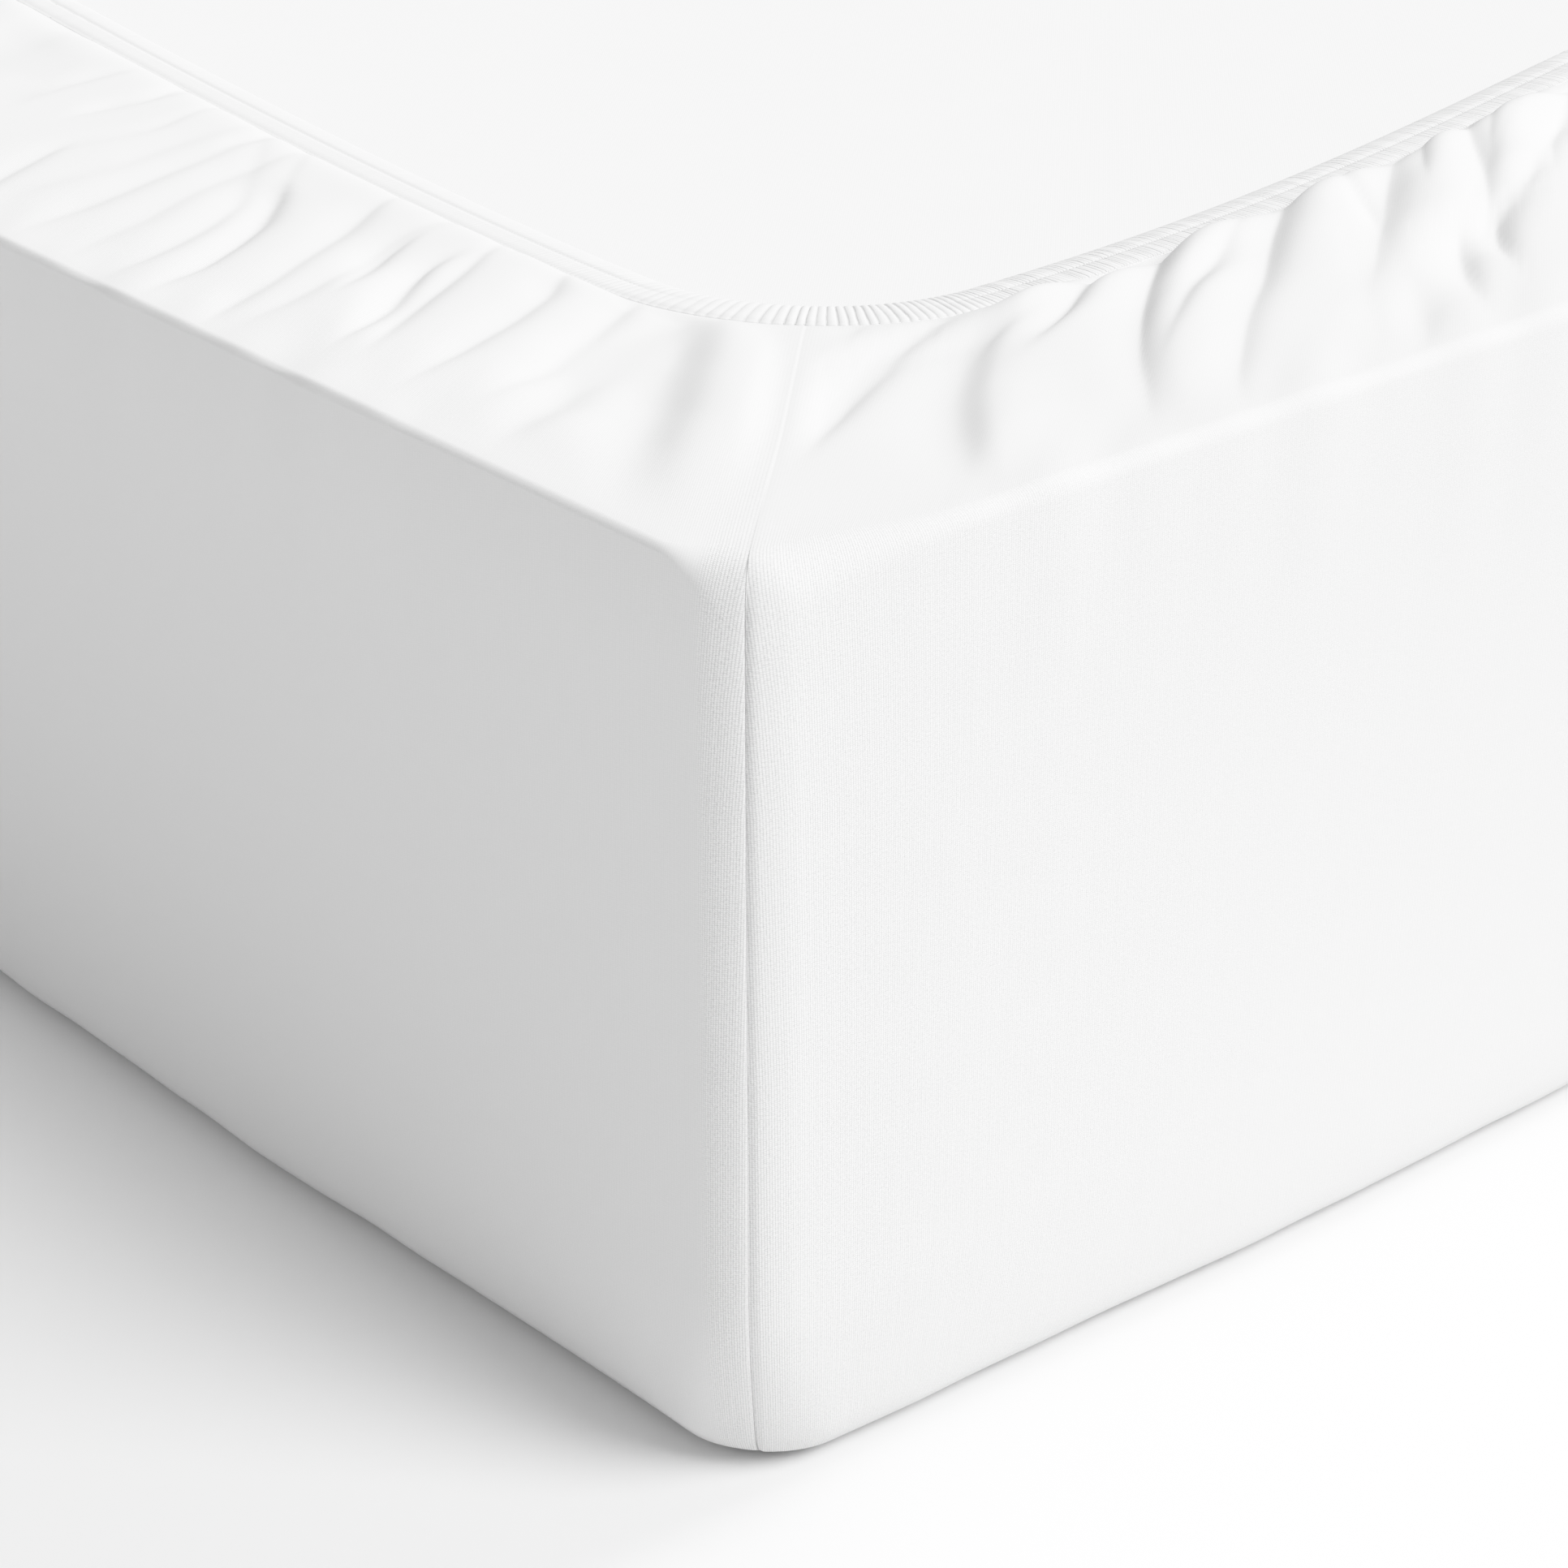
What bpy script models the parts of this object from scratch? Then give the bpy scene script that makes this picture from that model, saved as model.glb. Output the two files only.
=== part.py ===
"""Fitted sheet on mattress.

A white jersey sheet is pulled over a double mattress that lies sleeping side down, so its
gathered hem shows on top. Metres, +Z up. The origin is the middle of the face on the floor,
+X runs along the mattress's length.
"""

import math
import random
from collections import namedtuple

import bmesh
import bpy

MM = 0.001

# Driving sizes of the made-up mattress, cloth included
LENGTH = 2.000
WIDTH = 1.400
HEIGHT = 0.250

# Cloth and the room it leaves
CLOTH = 2.0 * MM              # thickness of the sheet's solid
SIDE_GAP = 2.5 * MM           # cloth to mattress on the walls
FLOOR_GAP = 0.6 * MM          # cloth to mattress on the sleeping side
MATTRESS_TOP = HEIGHT - 5.0 * MM
LEAST_LIFT = 0.6 * MM         # cloth over the mattress's upper face, at its lowest

# Rounded edges of the sheet's outside
TOP_ROUND = 12.0 * MM
FLOOR_ROUND = 20.0 * MM
CORNER_RADIUS = 16.5 * MM     # plan radius of the upright corners
FLOOR_CORNER_RADIUS = 55.0 * MM
FLOOR_CORNER_HEIGHT = 60.0 * MM   # the corner is pulled rounder below this height

# Hem round the mouth
HEM_CENTRE = 175.0 * MM       # centre of the hem's corner arcs, from both walls
HEM_RADIUS = 75.0 * MM        # outer line of the hem in the corners
HEM_WIDTH = 18.0 * MM
HEM_LINE_LIFT = 2.9 * MM      # heights of the hem's upper face over the mattress
HEM_CREST_LIFT = 5.6 * MM
HEM_EDGE_LIFT = 4.6 * MM

# Stations, the lines that run across the sheet's border. In a half corner they fan out from
# shares of its straight run, and then from angles of its arc
FAN_SHARES = (0.35, 0.62, 0.84)
FAN_ARCS = (0.0, 15.0, 30.0)
NEAR_STEP = 10.0 * MM         # their spacing by the folds of FRONT and END
FAR_STEP = 21.0 * MM
NEAR_REACH = 420.0 * MM
WALL_STEPS = 5                # straight pieces of a wall between its corners
SKIRT_ROWS = (0.22, 0.44, 0.65, 0.84)   # between the upper edge, 0, and the hem's line, 1
PUFF_RISE, PUFF_DROP = 1.3, 7     # powers of how the skirt swells and drops to the hem
SEAM_CLEAR = (2 * MM, 16 * MM)    # troughs fade out this near a corner's diagonal seam

# The four sides, anticlockwise from the front: where each starts, the way it runs, its length,
# how far the hem has bowed in at its middle, how sharply, how high its gathers puff up, and
# how much they lean to the corners at its start and its end
Side = namedtuple("Side", "start run length mid_inset bow puff lean_start lean_end")
SIDES = (
    Side((-LENGTH / 2, -WIDTH / 2), (1, 0), LENGTH, 172 * MM, 1.6, 4.0 * MM, 0.70, 0.55),
    Side((LENGTH / 2, -WIDTH / 2), (0, 1), WIDTH, 172 * MM, 2.0, 7.0 * MM, 1.15, 0.70),
    Side((LENGTH / 2, WIDTH / 2), (-1, 0), LENGTH, 172 * MM, 1.6, 5.5 * MM, 0.70, 0.70),
    Side((-LENGTH / 2, WIDTH / 2), (0, -1), WIDTH, 172 * MM, 2.0, 6.0 * MM, 0.70, 0.70),
)
FRONT, END = 0, 1

# Main troughs between the gathers, in millimetres. The first two columns are measured along
# the side from the corner that FRONT and END share, the third from the wall
FRONT_FOLDS = (
    # at hem, at tip, tip inset, bend, half width, depth, deepest at
    (136, 68, 24, 0, 11, 5.0, 0.55),
    (163, 126, 20, 1, 7, 2.4, 0.30),
    (190, 148, 16, -2, 7, 2.4, 0.30),
    (219, 182, 26, 1, 7, 2.2, 0.40),
    (249, 212, 14, -4, 7, 2.4, 0.40),
    (272, 220, 8, -3, 7, 2.6, 0.40),
    (302, 246, 10, -3, 8, 3.2, 0.40),
    (324, 286, 14, 6, 7, 2.4, 0.40),
    (356, 312, 18, -1, 8, 2.4, 0.35),
    (384, 351, 20, 6, 8, 2.2, 0.35),
)
END_FOLDS = (
    (168, 58, 46, -9, 8, 5.0, 0.45),
    (184, 85, 18, -13, 9, 7.0, 0.65),
    (202, 152, 66, 0, 8, 4.5, 0.25),
    (256, 142, 8, -18, 10, 7.5, 0.35),
    (292, 164, 12, -1, 11, 7.0, 0.20),
    (334, 256, 50, 4, 12, 7.5, 0.15),
    (364, 268, 26, -3, 9, 5.0, 0.75),
    (392, 296, 32, -9, 12, 7.5, 0.65),
)

# Main troughs elsewhere follow a rule: every so often one leaves the hem, and leans as the
# gathers of its side do
FOLD_SPACING = 72 * MM
FOLD_SPACING_SPREAD = 18 * MM
FOLD_LEAN_SPREAD = 0.10
FOLD_BEND = 6 * MM
FOLD_HALF_WIDTH = (11 * MM, 15 * MM)
FOLD_TIP_INSET = (10 * MM, 45 * MM)
FOLD_SEED = 7

# A station: its side, and for its wall end and its hem end a place along the side and an
# angle, which is 0 on the straight stretch and fans out in a corner
Station = namedtuple("Station", "side wall_at wall_angle hem_at hem_angle")
Fold = namedtuple("Fold", "at_hem at_tip tip_inset bend half_width depth peak")


def blend(low, high, share):
    """Smooth step from 0 to 1 as share goes from low to high."""
    t = min(max((share - low) / (high - low), 0.0), 1.0)
    return t * t * (3 - 2 * t)


def corner_radius(z):
    """Plan radius of the sheet's upright corner at height z."""
    swell = 1 - blend(0.0, FLOOR_CORNER_HEIGHT, z)
    return CORNER_RADIUS + (FLOOR_CORNER_RADIUS - CORNER_RADIUS) * swell


def hem_inset(side, along):
    """Distance from the wall to the hem's outer line, at a place along the side."""
    length = SIDES[side].length
    near = min(along, length - along)
    if near < HEM_CENTRE:
        reach = max(HEM_RADIUS ** 2 - (HEM_CENTRE - near) ** 2, 0.0)
        return HEM_CENTRE - math.sqrt(reach)
    least = HEM_CENTRE - HEM_RADIUS
    share = (near - HEM_CENTRE) / (length / 2 - HEM_CENTRE)
    bow = math.sin(share * math.pi / 2) ** SIDES[side].bow
    return least + (SIDES[side].mid_inset - least) * bow


def lean_at(side, along):
    """How far the gathers run along the side for each metre out to the wall."""
    half = SIDES[side].length / 2
    if along < half:
        return -SIDES[side].lean_start * (1 - blend(NEAR_REACH, half, along))
    return SIDES[side].lean_end * (1 - blend(NEAR_REACH, half, 2 * half - along))


def given_folds(side, rows):
    """The troughs of one table, measured along their side from its own start."""
    length = SIDES[side].length
    folds = []
    for row in rows:
        at_hem, at_tip, tip_inset, bend, half_width, depth = (value * MM for value in row[:6])
        if side == FRONT:
            at_hem, at_tip, bend = length - at_hem, length - at_tip, -bend
        folds.append(Fold(at_hem, at_tip, tip_inset, bend, half_width, depth, row[6]))
    return folds


def ruled_folds(side, start, stop, dice):
    """Troughs by the rule, from start to stop along a side."""
    folds = []
    along = start
    while along < stop:
        tip_inset = dice.uniform(*FOLD_TIP_INSET)
        lean = lean_at(side, along) + dice.uniform(-1, 1) * FOLD_LEAN_SPREAD
        at_tip = along + lean * (hem_inset(side, along) - tip_inset)
        folds.append(Fold(along, at_tip, tip_inset, dice.uniform(-1, 1) * FOLD_BEND,
                          dice.uniform(*FOLD_HALF_WIDTH),
                          SIDES[side].puff * dice.uniform(0.8, 1.3), dice.uniform(0.15, 0.5)))
        along += FOLD_SPACING + dice.uniform(-1, 1) * FOLD_SPACING_SPREAD
    return folds


def all_folds():
    """The troughs of every side."""
    dice = random.Random(FOLD_SEED)
    folds = []
    for side, row in enumerate(SIDES):
        start, stop = HEM_CENTRE, row.length - HEM_CENTRE
        given = []
        if side == FRONT:
            given, stop = given_folds(side, FRONT_FOLDS), row.length - NEAR_REACH
        if side == END:
            given, start = given_folds(side, END_FOLDS), NEAR_REACH + FOLD_SPACING_SPREAD
        folds.append(given + ruled_folds(side, start, stop, dice))
    return folds


def trough_depth(folds, side, along, inset):
    """How far the troughs press the skirt down at one place on a side."""
    from_seam = min(along, SIDES[side].length - along) - inset
    deepest = 0.0
    for fold in folds[side]:
        from_inset = hem_inset(side, fold.at_hem)
        share = (from_inset - inset) / (from_inset - fold.tip_inset)
        if not -0.15 < share < 1.0:
            continue
        share = max(share, 0.0)
        run = fold.at_tip - fold.at_hem
        centre = fold.at_hem + run * share + 4 * fold.bend * share * (1 - share)
        slant = math.atan2(run, from_inset - fold.tip_inset)
        across = (along - centre) * math.cos(slant) / fold.half_width
        if abs(across) > 3:
            continue
        rising = 0.55 + 0.45 * blend(0, fold.peak, share)
        strength = rising if share < fold.peak else 1 - blend(fold.peak, 1, share)
        deepest = max(deepest, fold.depth * strength * math.exp(-across * across))
    return deepest * blend(*SEAM_CLEAR, from_seam)


def corner_fan(centre):
    """Angles of the rays from a point this far in from both walls to half of their corner."""
    straight = [centre - (centre - CORNER_RADIUS) * share for share in FAN_SHARES]
    places = [(centre, 0.0)] + [(along, 0.0) for along in straight]
    for arc in FAN_ARCS:
        turned = math.radians(arc)
        places.append((CORNER_RADIUS * (1 - math.sin(turned)),
                       CORNER_RADIUS * (1 - math.cos(turned))))
    return [math.atan2(centre - along, centre - inset) for along, inset in places]


def make_stations(near_step, far_step):
    """The stations right round the border, anticlockwise, seam to seam on each side."""
    stations = []
    hem_fan = [math.pi / 4 * i / 7 for i in range(7)]
    for side, row in enumerate(SIDES):
        length = row.length
        least = HEM_CENTRE - HEM_RADIUS
        start_wall = HEM_CENTRE - row.lean_start * least
        end_wall = HEM_CENTRE - row.lean_end * least
        stations += [Station(side, start_wall, -wall, HEM_CENTRE, -hem) for wall, hem in
                     zip([math.pi / 4] + corner_fan(start_wall)[:0:-1],
                         [math.pi / 4] + hem_fan[:0:-1])]
        places, along = [], HEM_CENTRE
        while along < length - HEM_CENTRE - near_step / 2:
            places.append(along)
            to_shared = length - along if side == FRONT else along if side == END else length
            along += near_step if to_shared < NEAR_REACH else far_step
        squeeze = (length - 2 * HEM_CENTRE) / (along - HEM_CENTRE)
        for place in places:
            at = HEM_CENTRE + (place - HEM_CENTRE) * squeeze
            foot = at + lean_at(side, at) * hem_inset(side, at)
            stations.append(Station(side, foot, 0.0, at, 0.0))
        stations += [Station(side, length - end_wall, wall, length - HEM_CENTRE, hem)
                     for wall, hem in zip(corner_fan(end_wall), hem_fan)]
    return stations


def border_point(station, inset, radius):
    """Where a station crosses the outline that lies inset from the walls, with round corners."""
    angle = station.wall_angle
    if angle == 0.0:
        return station.wall_at, inset
    centre = min(station.wall_at, SIDES[station.side].length - station.wall_at)
    sine, cosine = math.sin(abs(angle)), math.cos(angle)
    reach = (centre - inset) / cosine
    if centre - reach * sine < inset + radius:
        to_arc = centre - inset - radius
        half = to_arc * (sine + cosine)
        reach = half + math.sqrt(max(half * half - 2 * to_arc ** 2 + radius ** 2, 0.0))
    return station.wall_at + math.copysign(reach * sine, angle), centre - reach * cosine


def hem_point(station, inward):
    """The point of a station that lies inward of the hem's outer line."""
    angle = station.hem_angle
    if angle == 0.0:
        return station.hem_at, hem_inset(station.side, station.hem_at) + inward
    reach = HEM_RADIUS - inward
    return (station.hem_at + math.copysign(reach * math.sin(abs(angle)), angle),
            HEM_CENTRE - reach * math.cos(angle))


def to_plan(side, along, inset):
    """Plan x and y of a place given along a side and in from its wall."""
    (start_x, start_y), (run_x, run_y) = SIDES[side].start, SIDES[side].run
    return (start_x + run_x * along - run_y * inset, start_y + run_y * along + run_x * inset)


def border_ring(stations, inset, z, radius):
    """A level ring of points that lies inset from the walls."""
    return [to_plan(station.side, *border_point(station, inset, radius)) + (z,)
            for station in stations]


def skirt_lift(folds, side, along, inset, share):
    """Height of the skirt's upper face over the mattress, from edge, 0, to hem's line, 1."""
    edge_lift = HEIGHT - MATTRESS_TOP
    base = edge_lift + (HEM_LINE_LIFT - edge_lift) * blend(0.2, 1.0, share)
    from_corner = min(along, SIDES[side].length - along)
    swell = share ** PUFF_RISE * (1 - share ** PUFF_DROP) / 0.6
    swell *= 0.2 + 0.8 * blend(100 * MM, 240 * MM, from_corner)
    lift = base + SIDES[side].puff * swell - trough_depth(folds, side, along, inset)
    return max(lift, LEAST_LIFT + CLOTH)


def skirt_ring(stations, folds, share, drop):
    """A ring of the skirt, at a share of the way to the hem, drop below its upper face."""
    edge_radius = CORNER_RADIUS - TOP_ROUND
    ring = []
    for station in stations:
        side = station.side
        edge = border_point(station, TOP_ROUND, edge_radius)
        hem = hem_point(station, 0.0)
        along = edge[0] + (hem[0] - edge[0]) * share
        inset = edge[1] + (hem[1] - edge[1]) * share
        lift = skirt_lift(folds, side, along, inset, share) - drop
        ring.append(to_plan(side, along, inset) + (MATTRESS_TOP + lift,))
    return ring


def hem_ring(stations, inward, lift):
    """A ring of the hem at one height over the mattress."""
    return [to_plan(station.side, *hem_point(station, inward)) + (MATTRESS_TOP + lift,)
            for station in stations]


def ring_positions(stations):
    """Where each station's wall end stands round the border, to match unlike rings."""
    positions = []
    before = 0.0
    for side, row in enumerate(SIDES):
        for station in stations:
            if station.side == side:
                along, inset = border_point(station, TOP_ROUND, CORNER_RADIUS - TOP_ROUND)
                positions.append(before + along)
        before += row.length
    return positions


def add_ring(mesh, points):
    """Vertices of one ring."""
    return [mesh.verts.new(point) for point in points]


def join_rings(mesh, lower, upper):
    """Quads between two rings of the same count, facing out where upper lies anticlockwise."""
    count = len(lower)
    for i in range(count):
        j = (i + 1) % count
        mesh.faces.new((lower[i], lower[j], upper[j], upper[i]))


def zip_rings(mesh, lower, lower_at, upper, upper_at):
    """Triangles between two rings of unlike counts, matched by their positions."""
    around = 2 * (LENGTH + WIDTH)
    i = j = 0
    while i < len(lower) or j < len(upper):
        next_lower = lower_at[(i + 1) % len(lower)] + around * ((i + 1) // len(lower))
        next_upper = upper_at[(j + 1) % len(upper)] + around * ((j + 1) // len(upper))
        here_lower, here_upper = lower[i % len(lower)], upper[j % len(upper)]
        if j == len(upper) or (i < len(lower) and next_lower <= next_upper):
            i += 1
            mesh.faces.new((here_lower, lower[i % len(lower)], here_upper))
        else:
            j += 1
            mesh.faces.new((here_lower, upper[j % len(upper)], here_upper))


def make_object(name, mesh, colour, roughness):
    """An object from a closed mesh, with its own material and its faces in triangles."""
    bmesh.ops.triangulate(mesh, faces=mesh.faces[:])
    data = bpy.data.meshes.new(name)
    mesh.to_mesh(data)
    mesh.free()
    piece = bpy.data.objects.new(name, data)
    bpy.context.collection.objects.link(piece)
    material = bpy.data.materials.new(name)
    material.use_nodes = True
    shader = material.node_tree.nodes["Principled BSDF"]
    shader.inputs["Base Color"].default_value = (*colour, 1.0)
    shader.inputs["Roughness"].default_value = roughness
    data.materials.append(material)
    data.shade_smooth()
    data.set_sharp_from_angle(angle=math.radians(60))
    return piece


def wall_profile(shrink, floor_z, top_z):
    """Rows (inset, height, plan radius) up a wall that lies shrink inside the sheet's outside."""
    floor_round, top_round = FLOOR_ROUND - shrink, TOP_ROUND - shrink
    slope = 1 - math.sqrt(0.5)
    rows = (
        (shrink + floor_round, floor_z),
        (shrink + floor_round * slope, floor_z + floor_round * slope),
        (shrink, floor_z + floor_round),
        (shrink, floor_z + 0.75 * FLOOR_CORNER_HEIGHT),
        (shrink, top_z - top_round),
        (shrink + top_round * slope, top_z - top_round * slope),
    )
    return [(inset, z, corner_radius(z) - inset) for inset, z in rows]


def make_sheet():
    """The sheet: outside from the floor up to the hem, then the inside back down."""
    wall_stations = make_stations(WALL_LONG_STEP, WALL_LONG_STEP)
    skirt_stations = make_stations(NEAR_STEP, FAR_STEP)
    wall_at, skirt_at = ring_positions(wall_stations), ring_positions(skirt_stations)
    folds = all_folds()
    mesh = bmesh.new()

    outside = [add_ring(mesh, border_ring(wall_stations, inset, z, radius))
               for inset, z, radius in wall_profile(0.0, 0.0, HEIGHT)]
    skirt = [add_ring(mesh, skirt_ring(skirt_stations, folds, share, 0.0))
             for share in (0.0,) + SKIRT_ROWS]
    hem = [add_ring(mesh, hem_ring(skirt_stations, inward, lift)) for inward, lift in (
        (0.0, HEM_LINE_LIFT),
        (0.4 * HEM_WIDTH, HEM_CREST_LIFT),
        (HEM_WIDTH, HEM_EDGE_LIFT),
        (HEM_WIDTH, LEAST_LIFT),
        (0.0, LEAST_LIFT),
    )]
    underside = [add_ring(mesh, skirt_ring(skirt_stations, folds, share, CLOTH))
                 for share in reversed((0.0,) + SKIRT_ROWS)]
    inside = [add_ring(mesh, border_ring(wall_stations, inset, z, radius))
              for inset, z, radius in wall_profile(CLOTH, CLOTH, HEIGHT - CLOTH)]

    mesh.faces.new(outside[0][::-1])
    for lower, upper in zip(outside, outside[1:]):
        join_rings(mesh, lower, upper)
    zip_rings(mesh, outside[-1], wall_at, skirt[0], skirt_at)
    border = skirt + hem + underside
    for lower, upper in zip(border, border[1:]):
        join_rings(mesh, lower, upper)
    zip_rings(mesh, underside[-1], skirt_at, inside[-1], wall_at)
    for lower, upper in zip(inside[::-1], inside[-2::-1]):
        join_rings(mesh, lower, upper)
    mesh.faces.new(inside[0])
    return make_object("fitted_sheet", mesh, (0.90, 0.90, 0.90), 0.9)


def make_mattress():
    """The mattress: a block with soft edges that fills the sheet."""
    stations = make_stations(WALL_LONG_STEP, WALL_LONG_STEP)
    shrink = CLOTH + SIDE_GAP
    mesh = bmesh.new()
    rings = [add_ring(mesh, border_ring(stations, inset, z, radius))
             for inset, z, radius in wall_profile(shrink, CLOTH + FLOOR_GAP, MATTRESS_TOP)]
    top_inset = shrink + (TOP_ROUND - shrink)
    rings.append(add_ring(mesh, border_ring(stations, top_inset, MATTRESS_TOP,
                                            CORNER_RADIUS - top_inset)))
    mesh.faces.new(rings[0][::-1])
    for lower, upper in zip(rings, rings[1:]):
        join_rings(mesh, lower, upper)
    mesh.faces.new(rings[-1])
    return make_object("mattress", mesh, (0.92, 0.92, 0.92), 0.85)


WALL_LONG_STEP = (LENGTH - 2 * HEM_CENTRE) / WALL_STEPS

for old in list(bpy.data.objects):
    bpy.data.objects.remove(old, do_unlink=True)

make_sheet()
make_mattress()
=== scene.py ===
"""Looks of a white jersey fitted sheet, pulled over a mattress that lies sleeping side down."""

import math
import random
from bisect import bisect_right
from collections import namedtuple

import bmesh
import bpy
from mathutils import Matrix, Vector


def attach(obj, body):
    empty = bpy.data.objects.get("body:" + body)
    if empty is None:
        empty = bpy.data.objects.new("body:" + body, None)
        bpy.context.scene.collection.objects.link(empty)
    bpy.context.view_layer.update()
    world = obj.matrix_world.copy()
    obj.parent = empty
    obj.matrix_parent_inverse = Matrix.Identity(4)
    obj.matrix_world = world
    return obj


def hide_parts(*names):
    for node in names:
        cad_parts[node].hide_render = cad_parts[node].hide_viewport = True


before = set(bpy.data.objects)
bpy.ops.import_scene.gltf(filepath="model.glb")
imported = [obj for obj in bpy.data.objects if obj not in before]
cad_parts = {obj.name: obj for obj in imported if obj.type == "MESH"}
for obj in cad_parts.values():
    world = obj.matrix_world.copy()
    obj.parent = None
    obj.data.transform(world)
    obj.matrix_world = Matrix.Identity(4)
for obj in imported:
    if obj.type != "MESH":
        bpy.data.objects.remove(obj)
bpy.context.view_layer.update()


# ------------------------------------------------------------------------------ the mattress
# A foam block, 2.0 x 1.4 m, in plain white ticking. It lies sleeping side down, so its flat
# underside shows in the mouth of the sheet. Its corners are pulled rounder near the floor.

MM = 0.001
LENGTH, WIDTH, HEIGHT = 2.000, 1.400, 0.250      # the made-up mattress, cloth included
MATTRESS_TOP, MATTRESS_FLOOR = 0.245, 2.6 * MM
MATTRESS_SHRINK = 4.5 * MM        # from the sheet's outside to the mattress
MATTRESS_HEIGHTS = (30 * MM, 40 * MM, 50 * MM, 60 * MM)     # of the rows up its walls
MATTRESS_CUTS = (5, 4)            # of the rounding by the floor, and of that on top
MATTRESS_RAYS = (60 * MM, 10)     # a corner's ray centre from both walls, and steps to its middle
TOP_ROUND, FLOOR_ROUND = 2.5 * MM, 16 * MM
CORNER_RADIUS = 16.5 * MM
FLOOR_CORNER_RADIUS, FLOOR_CORNER_HEIGHT = 32 * MM, 60 * MM

# By a corner the walls are drawn in at the floor: how far, between which distances it fades, and
# within which distance they are drawn off the corner along the wall too
FLOOR_TUCK, FLOOR_TUCK_FADE, FLOOR_SHIFT_REACH = 7 * MM, (30 * MM, 250 * MM), 80 * MM
# The corner that FRONT and END share is pulled in along FRONT: how far, over which x, and to
# what distance from FRONT
CORNER_PULL, CORNER_PULL_FADE, CORNER_PULL_REACH = 2.8 * MM, (0.75, 0.95), 70 * MM

TICKING_WHITE, TICKING_SHADE = 0.805, 0.985 * 0.805
TICKING_CORD, TICKING_DEPTH = 0.9 * MM, 0.01 * MM       # its fine weave's pitch and relief
TICKING_PATCHES = 40.0            # scale of its soft unevenness
CLOTH_SPECULAR, CLOTH_SHEEN_ROUGHNESS = 0.2, 0.6

# The four sides, anticlockwise: where each starts, the way it runs, and its length
Side = namedtuple("Side", "start run length")
SIDES = (
    Side((-LENGTH / 2, -WIDTH / 2), (1, 0), LENGTH),
    Side((LENGTH / 2, -WIDTH / 2), (0, 1), WIDTH),
    Side((LENGTH / 2, WIDTH / 2), (-1, 0), LENGTH),
    Side((-LENGTH / 2, WIDTH / 2), (0, -1), WIDTH),
)
FRONT, END, BACK, FAR_END = range(4)

# A ray out to a wall: it starts this far along the side, as far in from the wall as from the
# nearer corner, and turns by the angle, which is 0 on a straight stretch
Ray = namedtuple("Ray", "side at angle")


def blend(low, high, value):
    """Smooth step from 0 to 1 as value goes from low to high."""
    t = min(max((value - low) / (high - low), 0.0), 1.0)
    return t * t * (3 - 2 * t)


def corner_radius(z):
    """Plan radius of the upright corners at height z."""
    swell = 1 - blend(0.0, FLOOR_CORNER_HEIGHT, z)
    return CORNER_RADIUS + (FLOOR_CORNER_RADIUS - CORNER_RADIUS) * swell


def to_plan(side, along, inset):
    """Plan x and y of a place given along a side and in from its wall."""
    (start_x, start_y), (run_x, run_y), _ = SIDES[side]
    return (start_x + run_x * along - run_y * inset, start_y + run_y * along + run_x * inset)


def crossing(ray, inset, radius):
    """Where a ray crosses the outline that lies inset from the walls, with round corners."""
    if ray.angle == 0.0:
        return ray.at, inset
    centre = min(ray.at, SIDES[ray.side].length - ray.at)
    sine, cosine = math.sin(abs(ray.angle)), math.cos(ray.angle)
    reach = (centre - inset) / cosine
    if centre - reach * sine < inset + radius:
        to_arc = centre - inset - radius
        half = to_arc * (sine + cosine)
        reach = half + math.sqrt(max(half * half - 2 * to_arc ** 2 + radius ** 2, 0.0))
    return ray.at + math.copysign(reach * sine, ray.angle), centre - reach * cosine


def drawn_in(x, y, z):
    """A place with the corner that FRONT and END share drawn in a little along FRONT."""
    pull = blend(*CORNER_PULL_FADE, x) * (1 - blend(0.0, CORNER_PULL_REACH, y + WIDTH / 2))
    return x - CORNER_PULL * pull, y, z


def wall_place(ray, inset, z, tilt=0.0, dip=0.0):
    """A point on a wall's outline, sunk by dip along the surface's own slope."""
    inset += dip * math.cos(tilt)
    z -= dip * math.sin(tilt)
    along, inset = crossing(ray, inset, corner_radius(z) - inset)
    length = SIDES[ray.side].length
    near = min(along, length - along)
    tuck = FLOOR_TUCK * (1 - blend(0.0, FLOOR_CORNER_HEIGHT, z))
    beside = tuck * (1 - blend(0.0, FLOOR_SHIFT_REACH, near))
    return drawn_in(*to_plan(ray.side, along + (beside if along < length / 2 else -beside),
                             inset + tuck * (1 - blend(*FLOOR_TUCK_FADE, near))), z)


def wall_rows(shrink, floor_z, top_z, high, wall_heights, floor_cuts, top_cuts):
    """Rows up a wall as (inset, height, tilt), from flat on the floor to flat on top, where
    its edge is rounded by high."""
    low = FLOOR_ROUND - shrink
    rows = []
    for cut in range(floor_cuts + 1):
        turned = math.pi / 2 * cut / floor_cuts
        rows.append((shrink + low * (1 - math.sin(turned)),
                     floor_z + low * (1 - math.cos(turned)), turned - math.pi / 2))
    rows += [(shrink, height, 0.0) for height in wall_heights]
    for cut in range(top_cuts + 1):
        turned = math.pi / 2 * cut / top_cuts
        rows.append((shrink + high * (1 - math.cos(turned)),
                     top_z - high * (1 - math.sin(turned)), turned))
    return rows


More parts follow.
